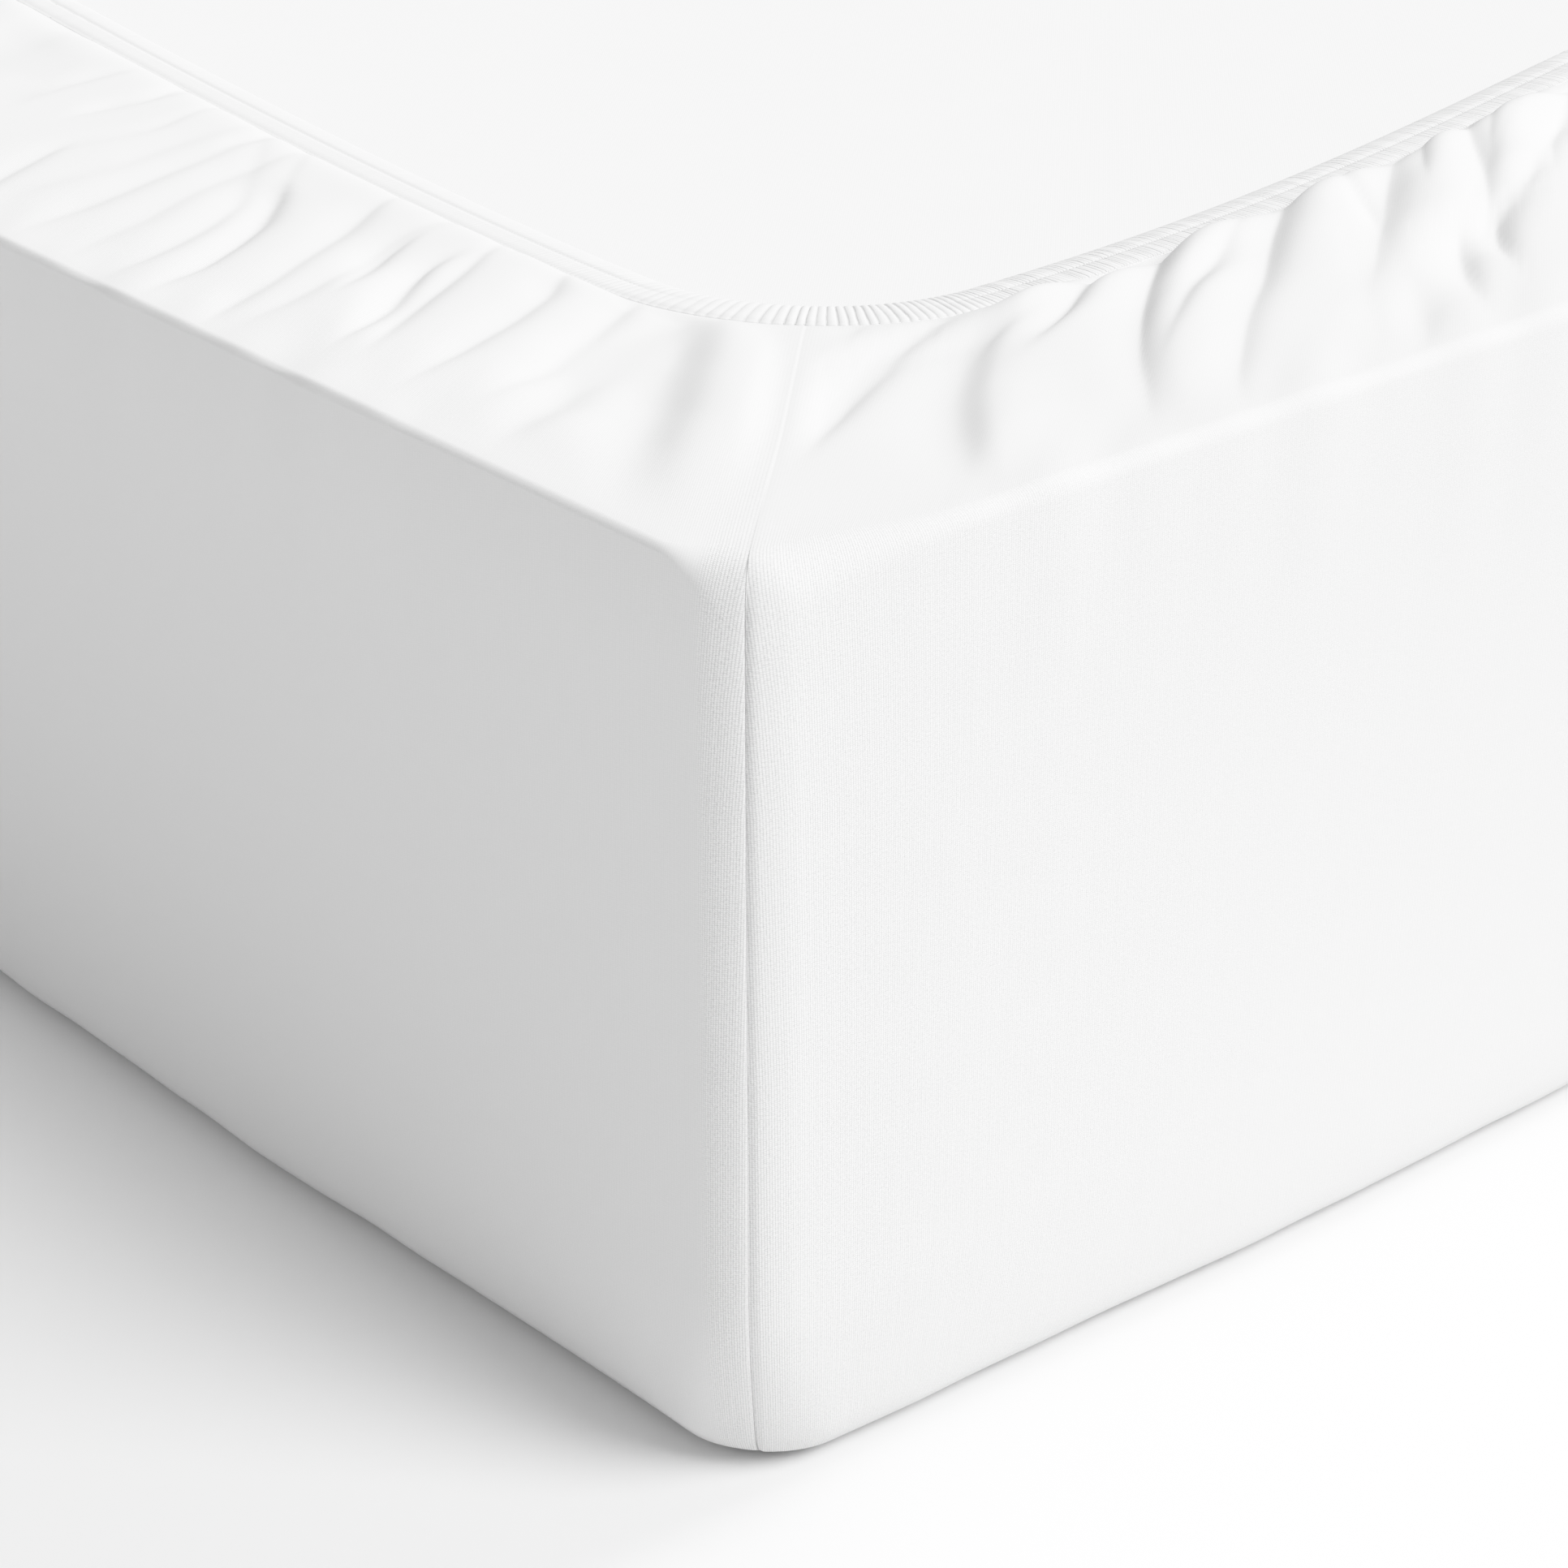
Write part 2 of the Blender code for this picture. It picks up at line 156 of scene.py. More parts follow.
def wrap(columns, rows, place, on_cloth, relief):
    """A flat cloth, carried round the mattress column by column and closed where it meets.

    place gives a point's position, on_cloth its place on the flat cloth, in metres, and relief
    how much of its weave or knit shows there."""
    mesh = bmesh.new()
    cloth_map = mesh.loops.layers.uv.new("cloth")
    relief_layer = mesh.verts.layers.float.new("relief")
    bmesh.ops.create_grid(mesh, x_segments=columns, y_segments=rows - 1, size=0.5)
    spots = {vert: (round((vert.co.x + 0.5) * columns), round((vert.co.y + 0.5) * (rows - 1)))
             for vert in mesh.verts}
    for face in mesh.faces:
        for loop in face.loops:
            loop[cloth_map].uv = on_cloth(*spots[loop.vert])
    for vert, (column, row) in spots.items():
        vert.co = place(column % columns, row)
        vert[relief_layer] = relief(column % columns, row)
    bmesh.ops.remove_doubles(mesh, verts=mesh.verts[:], dist=1e-6)
    return mesh


def make_piece(name, mesh, finish):
    """An object from a mesh, with one material: smooth, but for the faces that fill a ring."""
    data = bpy.data.meshes.new(name)
    for face in mesh.faces:
        face.smooth = len(face.verts) <= 4
    mesh.to_mesh(data)
    mesh.free()
    data.materials.append(finish)
    piece = bpy.data.objects.new(name, data)
    bpy.context.scene.collection.objects.link(piece)
    return piece


class Wire:
    """One socket of a material. Sums and products with it add Math nodes."""

    def __init__(self, tree, socket):
        self.tree, self.socket = tree, socket

    def node(self, kind, inputs, output=0, **settings):
        """Any other node: its settings are set first, then its sockets' values or links."""
        made = self.tree.nodes.new(kind)
        for name, value in settings.items():
            setattr(made, name, value)
        for name, value in inputs.items():
            if isinstance(value, Wire):
                self.tree.links.new(value.socket, made.inputs[name])
            else:
                made.inputs[name].default_value = value
        return Wire(self.tree, made.outputs[output])

    def math(self, operation, first, second=0.0):
        """A Math node on two wires or numbers."""
        return self.node("ShaderNodeMath", {0: first, 1: second}, operation=operation)

    def __add__(self, other):
        return self.math("ADD", self, other)

    __radd__ = __add__

    def __mul__(self, other):
        return self.math("MULTIPLY", self, other)

    __rmul__ = __mul__

    def __sub__(self, other):
        return self.math("SUBTRACT", self, other)

    def __rsub__(self, other):
        return self.math("SUBTRACT", other, self)

    def __truediv__(self, other):
        return self.math("DIVIDE", self, other)

    def __abs__(self):
        return self.math("ABSOLUTE", self)

    def part(self, index):
        """One part of this vector: 0 for x, 1 for y."""
        return self.node("ShaderNodeSeparateXYZ", {0: self}, output=index)

    def fraction(self):
        return self.math("FRACT", self)

    def sine(self):
        return self.math("SINE", self)

    def noise(self, scale, detail=2.0):
        """Soft noise over this vector, about 0 to 1."""
        return self.node("ShaderNodeTexNoise", {"Vector": self, "Scale": scale, "Detail": detail})

    def grey(self, dark, light):
        """A neutral colour from dark to light, by this value."""
        return self.node("ShaderNodeMix", {0: self, 6: (dark, dark, dark, 1.0),
                                           7: (light, light, light, 1.0)}, output=2,
                         data_type="RGBA")


def new_finish(name, roughness, sheen, coordinate):
    """A matt cloth material, its shader, and a wire of the coordinate it reads."""
    finish = bpy.data.materials.new(name)
    finish.use_nodes = True
    tree = finish.node_tree
    shader = tree.nodes["Principled BSDF"]
    shader.inputs["Roughness"].default_value = roughness
    shader.inputs["Specular IOR Level"].default_value = CLOTH_SPECULAR
    shader.inputs["Sheen Weight"].default_value = sheen
    shader.inputs["Sheen Roughness"].default_value = CLOTH_SHEEN_ROUGHNESS
    place = tree.nodes.new("ShaderNodeTexCoord")
    return finish, shader, Wire(tree, place.outputs[coordinate])


def set_surface(shader, colour, height, distance):
    """Links a colour and a bump of the given height to a shader."""
    colour.tree.links.new(colour.socket, shader.inputs["Base Color"])
    bump = height.node("ShaderNodeBump", {"Height": height, "Distance": distance})
    bump.tree.links.new(bump.socket, shader.inputs["Normal"])


def make_ticking():
    """Plain white ticking: a fine, flat, close weave."""
    finish, shader, place = new_finish("white_ticking", roughness=0.95, sheen=0.0,
                                       coordinate="Object")
    turn = 2 * math.pi / TICKING_CORD
    weave = (place.part(0) * turn).sine() * (place.part(1) * turn).sine()
    tone = place.noise(TICKING_PATCHES).grey(TICKING_SHADE, TICKING_WHITE)
    set_surface(shader, tone, weave, TICKING_DEPTH)
    return finish


def make_mattress():
    """The mattress, built up its walls from corner rays, with a flat top and underside."""
    centre, steps = MATTRESS_RAYS
    turns = [math.radians(45 - 45 / steps * step) for step in range(steps + 1)]
    rays = []
    for side, row in enumerate(SIDES):
        rays += [Ray(side, centre, -turn) for turn in turns]
        rays += [Ray(side, row.length - centre, turn) for turn in reversed(turns)]
    rows = wall_rows(MATTRESS_SHRINK, MATTRESS_FLOOR, MATTRESS_TOP, TOP_ROUND, MATTRESS_HEIGHTS,
                     *MATTRESS_CUTS)
    mesh = wrap(len(rays), len(rows),
                lambda column, row: wall_place(rays[column], *rows[row]),
                lambda column, row: (column / len(rays), row / len(rows)),
                lambda column, row: 1.0)
    bmesh.ops.holes_fill(mesh, edges=[edge for edge in mesh.edges if edge.is_boundary])
    bmesh.ops.recalc_face_normals(mesh, faces=mesh.faces[:])
    return make_piece("ticking_mattress", mesh, make_ticking())


mattress = make_mattress()
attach(mattress, "root")
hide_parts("mattress")


# --------------------------------------------------------------------------------- the sheet
# One piece of white cotton jersey, sewn up at its four corners and stretched over the mattress.
# Its walls are smooth. The border that goes round to the underside is gathered by the hem's
# elastic, so it lies in slanting folds that run out from the hem.

JERSEY = 0.9 * MM
LEAST_LIFT, LIFT_SOFTNESS = 0.6 * MM, 0.5 * MM      # cloth over the mattress, at its lowest
HEM_CENTRE, HEM_RADIUS = 175 * MM, 75 * MM          # the hem's corner arcs, from both walls
HEM_LINE_LIFT = 2.5 * MM          # the cloth's upper face over the mattress, at the hem

# Columns lie close along FRONT and END, as far as this from the corner they share, then spread
NEAR_STEP, FAR_STEP = 1.2 * MM, 13 * MM
NEAR_REACH, NEAR_FADE = 432 * MM, 30 * MM
NEAR_CORNER, FAR_CORNER = (2.6 * MM, 40), (12 * MM, 4)      # their step, and least count
SEAM_COLUMNS = (0.0, 0.5 * MM, 1.0 * MM, 1.6 * MM, 2.4 * MM, 3.4 * MM, 5.0 * MM)
SHEET_HEIGHTS = (30 * MM, 42 * MM, 60 * MM, 120 * MM, 190 * MM, 218 * MM)
SHEET_CUTS = (4, 6)
BORDER_ROWS = 30
BORDER_CROWD = 1.25               # how much closer the border's rows lie by the hem
TUCKED_ROWS = ((1.5 * MM, 1.8 * MM), (4.0 * MM, 1.6 * MM))      # under the hem: inward and lift
TUCKED_SHARE = 1.03               # of the border's width, where they lie on the cloth
EDGE_WAY = 0.7                    # what each step in round an edge adds to the way up the cloth
FLOOR_RING = 4 * MM               # how far the heights round the lowest ring may differ

# The border puffs up from its edge to its hem, less by a corner
EDGE_SHARE = 0.2                  # of the way to the hem, where it begins to sink
PUFF_RISE, PUFF_DROP, PUFF_FULL = 1.05, 22, 0.78      # powers of the way, and the full value
CORNER_SWELL, CORNER_SWELL_FADE = 1.5 * MM, (125 * MM, 205 * MM)
FOLD_FADE = 0.965                 # of the way to the hem, where the folds begin to close
LEAN_REACH = 420 * MM             # from a side's ends, where its gathers still lean fully

# How a side's border lies: how far the hem has bowed in at its middle, how sharply, how high
# the gathers puff up, and how much they lean to the corners at its start and its end
Border = namedtuple("Border", "mid_inset bow puff lean_start lean_end")
BORDERS = (
    Border(172 * MM, 1.6, 4.2 * MM, 0.70, 0.55),
    Border(172 * MM, 2.0, 11.0 * MM, 1.15, 0.70),
    Border(172 * MM, 1.6, 5.5 * MM, 0.70, 0.70),
    Border(172 * MM, 2.0, 6.0 * MM, 0.70, 0.70),
)

# A fold: the widths of its shaded and its lit flank, how round its crease is to the shaded
# side, and its crease from the hem outward as places (from the corner, from the wall, depth),
# all in millimetres. A depth below 0 is a ridge. The deepest is worked out. These lie near the
# corner that FRONT and END share, which they are measured from
Fold = namedtuple("Fold", "shaded lit sharp crease deepest", defaults=(1.0,))
FRONT_FOLDS = (
    Fold(3.9, 7, 1.45, ((368, 99, 0.4), (363, 85, 0.7), (363, 76, 0.7), (365, 65, 0.7), (367, 55, 0.9),
         (363, 45, 1.4), (359, 35, 1.8), (356, 27, 2), (345, 11, 0.8))),
    Fold(5.1, 9, 1.6, ((349, 101, 0.3), (348, 89, 0.7), (346, 75, 0.8), (341, 58, 0.7), (342, 45, 0.8),
         (341, 29, 0.8), (343, 20, 0.7))),
    Fold(4.4, 9, 1.5, ((335, 98, 0.3), (331, 81, 0.9), (328, 68, 1.4), (324, 55, 1.5), (320, 42, 1.6),
         (317, 30, 1.6), (313, 14, 0.5))),
    Fold(5.1, 10, 1.5, ((320, 105, 0.4), (316, 90, 1.1), (313, 77, 1.4), (308, 63, 0.9), (302, 49, 1.1),
         (296, 37, 1.2), (292, 24, 0.7), (288, 12, 0.3))),
    Fold(3.9, 8, 1.5, ((302, 74, 0.4), (295, 68, 1.1), (288, 59, 1.6), (280, 46, 1.8), (274, 33, 1.6),
         (269, 20, 1.1), (267, 11, 0.3))),
    Fold(3.9, 8, 1.45, ((293, 80, 0.4), (289, 76, 2.6), (283, 69, 3.1), (273, 59, 3.1), (263, 44, 2.7),
         (254, 28, 2), (249, 12, 0.4))),
    Fold(4, 8, 1.45, ((265, 95, 0.4), (261, 86, 1.6), (253, 74, 2), (245, 60, 1.4), (239, 48, 1.4),
         (231, 33, 1.5), (228, 23, 1.9), (220, 9, 0.4))),
    Fold(4.1, 8, 1.4, ((239, 87, 0.4), (238, 81, 0.9), (235, 71, 1.1), (227, 56, 1.2), (220, 40, 1.4),
         (215, 27, 1.1), (212, 16, 0.3))),
    Fold(3.4, 6, 1.45, ((234, 83, 0.1), (231, 74, 1.6), (229, 68, 2.3), (225, 62, 2.4), (218, 51, 1.1),
         (214, 44, 0.1))),
    Fold(3.7, 6, 1.45, ((213, 90, 0.3), (216, 83, 0.7), (215, 75, 1.9), (213, 68, 3.2), (206, 58, 3.5),
         (198, 48, 3.4), (190, 36, 2), (184, 24, 0.3))),
    Fold(3.7, 5, 1.45, ((213, 91, 0.5), (207, 81, 1.2), (201, 70, 1.8), (199, 65, 2.2), (193, 54, 2.2),
         (184, 40, 1.6), (175, 27, 0.3))),
    Fold(3.9, 8, 1.45, ((189, 98, 0.3), (185, 92, 1.6), (179, 85, 2.4), (174, 76, 2), (169, 65, 2.2),
         (164, 53, 2), (159, 42, 1.8), (155, 33, 1.1), (150, 21, 0.3))),
    Fold(4.1, 8, 1.5, ((164, 106, 0.3), (161, 97, 1.2), (158, 90, 2.3), (153, 80, 2), (146, 67, 2.2),
         (139, 54, 1.6), (135, 43, 1.2), (129, 29, 0.3))),
    Fold(7.5, 12, 1.8, ((144, 102, 0.3), (143, 88, 1.2), (141, 78, 2.2), (134, 65, 3.1), (127, 52, 3.4),
         (116, 38, 2.7), (110, 25, 1.5), (103, 12, 0.1))),
    Fold(12, 16, 2, ((151, 108, 0.6), (139, 95, 2.4), (128, 83, 3.2), (115, 69, 3.4), (100, 54, 3.3),
         (89, 41, 2.6), (72, 24, 1.2), (57, 10, 0.2))),
    Fold(16, 11, 2, ((134, 112, -0.4), (125, 101, -1.8), (113, 89, -2.6), (100, 75, -3), (86, 61, -3),
         (74, 47, -2.2), (59, 31, -0.9), (44, 17, -0.1))),
    Fold(3.4, 6, 1.5, ((339, 107, 0.3), (337, 100, 1.1), (337, 94, 0.9), (335, 88, 0.1))),
    Fold(3.4, 6, 1.5, ((400, 121, 0.3), (390, 108, 0.9), (388, 98, 0.1))),
    Fold(2.8, 6, 1.5, ((397, 116, 0.1), (389, 99, 1.1), (390, 85, 1.3), (389, 72, 0.1))),
    Fold(3, 6, 1.5, ((445, 112, 0.1), (443, 102, 1.3), (438, 89, 1.4), (436, 77, 1.3), (432, 67, 0.1))),
    Fold(3, 6, 1.5, ((419, 115, 0.1), (419, 103, 1), (418, 86, 1.1), (417, 74, 1.3), (417, 63, 1.4),
         (413, 53, 0.1))),
)
END_FOLDS = (
    Fold(4.6, 9, 1.4, ((178, 114, 0.8), (169, 110, 1.6), (162, 107, 2), (146, 98, 1.5), (137, 97, 2.4),
         (125, 93, 3.2), (111, 84, 3.5), (96, 75, 3.4), (82, 65, 2.4), (65, 54, 0.6))),
    Fold(2.6, 6, 1.3, ((143, 118, 0.2), (139, 117, 1.2), (131, 112, 1), (122, 105, 0.1))),
    Fold(4, 8, 1.3, ((174, 89, 0.4), (167, 87, 1.4), (161, 86, 2), (153, 84, 1.8), (142, 77, 0.3))),
    Fold(7.5, 14, 2, ((151, 90, 0.9), (140, 83, 1.7), (126, 70, 1.9), (112, 57, 2.0), (99, 43, 2.1),
         (92, 33, 1.7), (81, 19, 0.3))),
    Fold(16, 7, 2, ((154, 79, -0.6), (143, 71, -1.5), (129, 59, -1.9), (115, 46, -2.1), (104, 33, -2.2),
         (96, 23, -1.7), (85, 9, -0.2))),
    Fold(4, 8, 1.4, ((192, 92, 5), (184, 88, 5.4), (176, 82, 4.8), (166, 77, 3.6), (158, 72, 2),
         (149, 68, 0.2))),
    Fold(5.5, 15, 1.25, ((263, 120, 4.4), (251, 114, 6.2), (237, 106, 6.6), (212, 87, 6.2),
         (199, 77, 5.2), (186, 66, 3.6), (174, 55, 2.4), (163, 44, 1.7), (153, 32, 1.1), (143, 21, 0.5),
         (136, 12, 0.1))),
    Fold(15, 14, 1.5, ((263, 120, 1.6), (251, 114, 2.2), (237, 106, 2.6), (212, 87, 2.6), (199, 77, 2.4),
         (186, 66, 1.8), (174, 55, 1.2), (163, 44, 0.8), (153, 32, 0.5), (143, 21, 0.3), (136, 12, 0.1))),
    Fold(14, 7, 2, ((267, 112, -0.1), (255, 106, -0.2), (242, 99, -0.4), (217, 79, -0.6), (204, 69, -0.9),
         (192, 60, -1.2), (181, 49, -1.3), (170, 38, -1.2), (159, 27, -0.9), (150, 15, -0.5),
         (144, 6, -0.1))),
    Fold(4.2, 6, 1.5, ((242, 89, 0.6), (231, 82, 2.6), (221, 76, 3.7), (208, 69, 3.4), (197, 62, 2.4),
         (187, 55, 1.5), (174, 46, 0.3))),
    Fold(6.5, 13, 1.4, ((301, 121, 6.4), (271, 97, 6.6), (253, 84, 6.2), (237, 71, 5.2), (224, 60, 4),
         (208, 49, 2.8), (196, 40, 2.2), (184, 30, 2), (172, 20, 1.2), (163, 9, 0.2))),
    Fold(3, 6, 1.3, ((301, 101, 1.2), (292, 87, 1.8), (286, 78, 1), (280, 70, 0.1))),
    Fold(8, 12, 1.45, ((342, 118, 6.4), (314, 97, 6.6), (300, 86, 6.2), (285, 73, 4.8), (270, 62, 3),
         (257, 51, 2), (241, 39, 0.3))),
    Fold(6, 8, 1.8, ((249, 32, 0.1), (245, 27, 1.4), (239, 20, 1.8), (228, 8, 0.2))),
    Fold(5, 7, 1.8, ((235, 35, 0.1), (228, 27, 0.7), (220, 17, 0.1))),
    Fold(5.5, 9, 1.4, ((389, 134, 3.2), (357, 104, 4.8), (348, 94, 5), (337, 82, 4.4), (324, 70, 3.2),
         (311, 59, 1.2), (301, 52, 0.1))),
    Fold(3.5, 6, 1.3, ((362, 127, 2.4), (328, 97, 1.8), (318, 87, 0.2))),
    Fold(5, 8, 1.4, ((302, 60, 0.3), (291, 53, 2.8), (283, 45, 4.4), (273, 35, 3.8), (264, 23, 1.6),
         (260, 15, 0.1))),
    Fold(5.5, 9, 1.3, ((361, 83, 0.6), (353, 78, 3.6), (337, 68, 2.4), (326, 64, 3), (318, 61, 5.2),
         (308, 54, 6), (298, 44, 4.4), (289, 32, 1.2), (287, 25, 0.1))),
    Fold(5, 9, 1.3, ((408, 138, 3.6), (375, 112, 2.8), (359, 99, 0.8), (351, 91, 0.1))),
    Fold(6, 10, 1.3, ((414, 116, 4.2), (398, 106, 4.8), (379, 93, 3), (361, 77, 0.3))),
)
LIT_SHARP = 1.6                   # how round a crease is to the lit side, at the least
FOLD_REACH = 60                   # millimetres to either side of its crease
FOLD_NARROW = 0.4                 # share of its width that a fold keeps where it is shallow
CREASE_REACH, CREASE_SMOOTH = 190, 4      # millimetres from the wall, and to smooth over
CREASE_CLOSE = 6                  # millimetres over which it closes past its last place

# Folds elsewhere: every so often one leaves the hem, and leans as the gathers of its side do
FOLD_SPACING, FOLD_SPACING_SPREAD = 72, 18
FOLD_LEAN_SPREAD = 0.10
FOLD_BEND = 6
FOLD_WIDTH, FOLD_FLANKS, FOLD_SHARP = (11, 15), (0.6, 1.5), 1.3
FOLD_TIP_INSET = (10, 45)
FOLD_DEPTH, FOLD_PEAK = (0.8, 1.3), (0.15, 0.5)     # times the puff, and where it is deepest
FOLD_SEED = 7

# Corner seams: the panel after a seam is tucked under, and the one before it rolls over it
SEAM_DEPTH, SEAM_WIDTH, SEAM_POWER = 1.15 * MM, 2.6 * MM, 1.5
BORDER_SEAM_DEPTH = 0.08 * MM
SEAM_FADE_TILT = 55               # degrees of the upper edge over which a seam gets so shallow
SEAM_ROLL, SEAM_ROLL_WIDTH = 0.13 * MM, 1.6 * MM
SEAM_ROLL_RISE, SEAM_ROLL_FALL = 2.7, 1.3
SEAM_STEP = 0.16 * MM
SEAM_CLEAR = (2 * MM, 14 * MM)    # from a seam, where folds begin and where they are full
PLAIN_TOP_ROUND = 4.5 * MM        # of the upper edge, except along FRONT
CORNER_TOP_ROUND = 12 * MM        # of the upper edge by a corner seam
CORNER_TOP_START = 2 * MM
CORNER_TOP_REACH = (25 * MM, 70 * MM)     # how far from the seam, along FRONT and elsewhere

# Waves of the upper edge, and of the lower one, which is pulled in and up between the places
# where it is tight: height in millimetres, length in metres, and shift from side to side
EDGE_WAVES = ((0.40, 0.083, 1), (0.38, 0.047, 2), (0.30, 0.029, 0))
FLOOR_WAVES = ((0.6, 0.121, 1.7), (0.35, 0.067, 1), (0.2, 0.038, 0))
FLOOR_PULL, END_FLOOR_PULL, FLOOR_PULL_MEAN = 0.6, 0.35, 0.9 * MM
FLOOR_PULL_IN = 0.6               # how far in for each step up
EDGE_WAVE_START, EDGE_WAVE_END = 180 * MM, 0.3     # height on the wall, share of the border
FLOOR_WAVE_TOP = 26 * MM
EDGE_LIFT_TILT, FLOOR_LIFT_TILT = (0.0, 1.0), (-1.5, 0.0)   # slopes over which they lift cloth
DIAGONAL = math.sin(math.pi / 4)  # the upper edge waves out and up at once

# The knit: ribs side by side and loops up each rib, slanting to its sides and starting apart from
# rib to rib. By a corner seam the ribs lean into it
WALE, COURSE = 0.66 * MM, 0.55 * MM
KNIT_DEPTH = 0.07 * MM
LOOP_SLANT, RIB_START, RIB_START_SPREAD = 0.3, 0.618, 5.7
RIB_SHARE, UNEVEN_SHARE, LOOP_SHARE, START_SHARE = 0.44, 0.25, 0.30, 0.14       # of its height
UNEVEN_SCALE, GRAIN_SCALE = 60.0, 1700.0
# The knit's colour: painted shade, darker where the knit lies low in its grooves, plus a fine random
# grain. The middle tone, the height it stands for, the grain's share, and how strongly both show
MIDDLE_TONE, MIDDLE_HEIGHT, GRAIN_SHARE, CONTRAST = 0.64, 0.42, 1.1, 0.85
RIB_PULL, RIB_PULL_HEIGHT, RIB_PULL_WIDTH = 9 * MM, 50 * MM, 32 * MM
# The jersey's white, and the darkest grey of its painted groove shade and grain
JERSEY_WHITE, JERSEY_SHADE_AND_GRAIN = 0.88, 0.55

# How the knit's relief changes with the distance from a corner seam: steps of (change, from, to)
# in millimetres. FRONT loses most of it. Then the relief of the border, and the rows, counted
# from its first, over which that takes over and over which FRONT's comes down to it
RELIEF_STEPS = ((-0.25, 15, 60), (-0.45, 60, 200), (-0.2, 200, 400))
FRONT_RELIEF_STEPS = ((-0.85, 8, 14),)
BORDER_RELIEF, FRONT_BORDER_RELIEF = 0.12, 0.45
BORDER_RELIEF_ROWS, FRONT_RELIEF_ROWS = (-4, 3), (2, 14)

# A column of the sheet: its ray to the wall and its ray to the hem, its place on the cloth,
# how far it is from the nearest corner seam, and whether it follows or precedes that seam
Column = namedtuple("Column", "wall hem cloth gap after")


def stepped(start, steps, place):
    """A value that starts as given and changes in soft steps of (change, from, to), in mm."""
    return start + sum(change * blend(low * MM, high * MM, place) for change, low, high in steps)


def hem_inset(side, along):
    """Distance from the wall to the hem's outer line, at a place along the side."""
    length = SIDES[side].length
    near = min(along, length - along)
    if near < HEM_CENTRE:
        return HEM_CENTRE - math.sqrt(max(HEM_RADIUS ** 2 - (HEM_CENTRE - near) ** 2, 0.0))
    least = HEM_CENTRE - HEM_RADIUS
    share = (near - HEM_CENTRE) / (length / 2 - HEM_CENTRE)
    bow = math.sin(share * math.pi / 2) ** BORDERS[side].bow
    return least + (BORDERS[side].mid_inset - least) * bow


def hem_crossing(ray, inward):
    """The point of a hem ray that lies inward of the hem's outer line."""
    if ray.angle == 0.0:
        return ray.at, hem_inset(ray.side, ray.at) + inward
    reach = HEM_RADIUS - inward
    return (ray.at + math.copysign(reach * math.sin(abs(ray.angle)), ray.angle),
            HEM_CENTRE - reach * math.cos(ray.angle))


def lean_at(side, along):
    """How far the gathers run along the side for each metre out to the wall."""
    half = SIDES[side].length / 2
    if along < half:
        return -BORDERS[side].lean_start * (1 - blend(LEAN_REACH, half, along))
    return BORDERS[side].lean_end * (1 - blend(LEAN_REACH, half, 2 * half - along))


def ruled_folds(side, start, stop, dice):
    """Folds by the rule, from start to stop along a side."""
    folds = []
    along = start / MM
    while along < stop / MM:
        tip_in = dice.uniform(*FOLD_TIP_INSET)
        lean = lean_at(side, along * MM) + dice.uniform(-1, 1) * FOLD_LEAN_SPREAD
        start_in = hem_inset(side, along * MM) / MM
        bend = dice.uniform(-1, 1) * FOLD_BEND
        width = dice.uniform(*FOLD_WIDTH)
        depth = BORDERS[side].puff / MM * dice.uniform(*FOLD_DEPTH)
        peak = dice.uniform(*FOLD_PEAK)
        crease = []        # where along its way to its tip, and how deep of its depth
        for share, deep in ((0, 0.55), (peak, 1.0), (0.45 + peak / 2, 0.6), (0.8, 0.25), (1, 0)):
            crease.append((along + lean * (start_in - tip_in) * share
                           + 4 * bend * share * (1 - share),
                           start_in + (tip_in - start_in) * share, deep * depth))
        folds.append(Fold(*(flank * width for flank in FOLD_FLANKS), FOLD_SHARP, tuple(crease)))
        along += FOLD_SPACING + dice.uniform(-1, 1) * FOLD_SPACING_SPREAD
    return folds


def crease_at(crease, inset):
    """Place along the side, and depth, of a crease at a distance from the wall."""
    step = next((i for i in range(1, len(crease)) if crease[i][1] <= inset), len(crease) - 1)
    (along_a, inset_a, depth_a), (along_b, inset_b, depth_b) = crease[step - 1:step + 1]
    t = (inset - inset_a) / (inset_b - inset_a)
    depth = depth_a + (depth_b - depth_a) * min(max(t, 0.0), 1.0)
    if t > 1:
        depth *= max(1 - (inset_b - inset) / CREASE_CLOSE, 0.0)
    return along_a + (along_b - along_a) * t, depth


def draw_fold(fold):
    """A fold whose crease is smoothed and given for every millimetre in from the wall."""
    rows = [crease_at(fold.crease, inset - CREASE_SMOOTH)
            for inset in range(CREASE_REACH + 2 * CREASE_SMOOTH)]
    count = 2 * CREASE_SMOOTH + 1
    smooth = [tuple(sum(values) / count for values in zip(*rows[i:i + count]))
              for i in range(CREASE_REACH)]
    return fold._replace(crease=smooth, deepest=max(abs(depth) for _, depth in smooth))


def all_folds():
    """The folds of every side, measured along it from its own start."""
    dice = random.Random(FOLD_SEED)
    folds = []
    for side, row in enumerate(SIDES):
        start, stop = HEM_CENTRE, row.length - HEM_CENTRE
        given = []
        if side == FRONT:
            stop = row.length - NEAR_REACH
            given = [fold._replace(crease=[(row.length / MM - along, inset, depth)
                                           for along, inset, depth in fold.crease])
                     for fold in FRONT_FOLDS]
        if side == END:
            given, start = list(END_FOLDS), NEAR_REACH + FOLD_SPACING_SPREAD * MM
        folds.append([draw_fold(fold) for fold in given + ruled_folds(side, start, stop, dice)])
    return folds


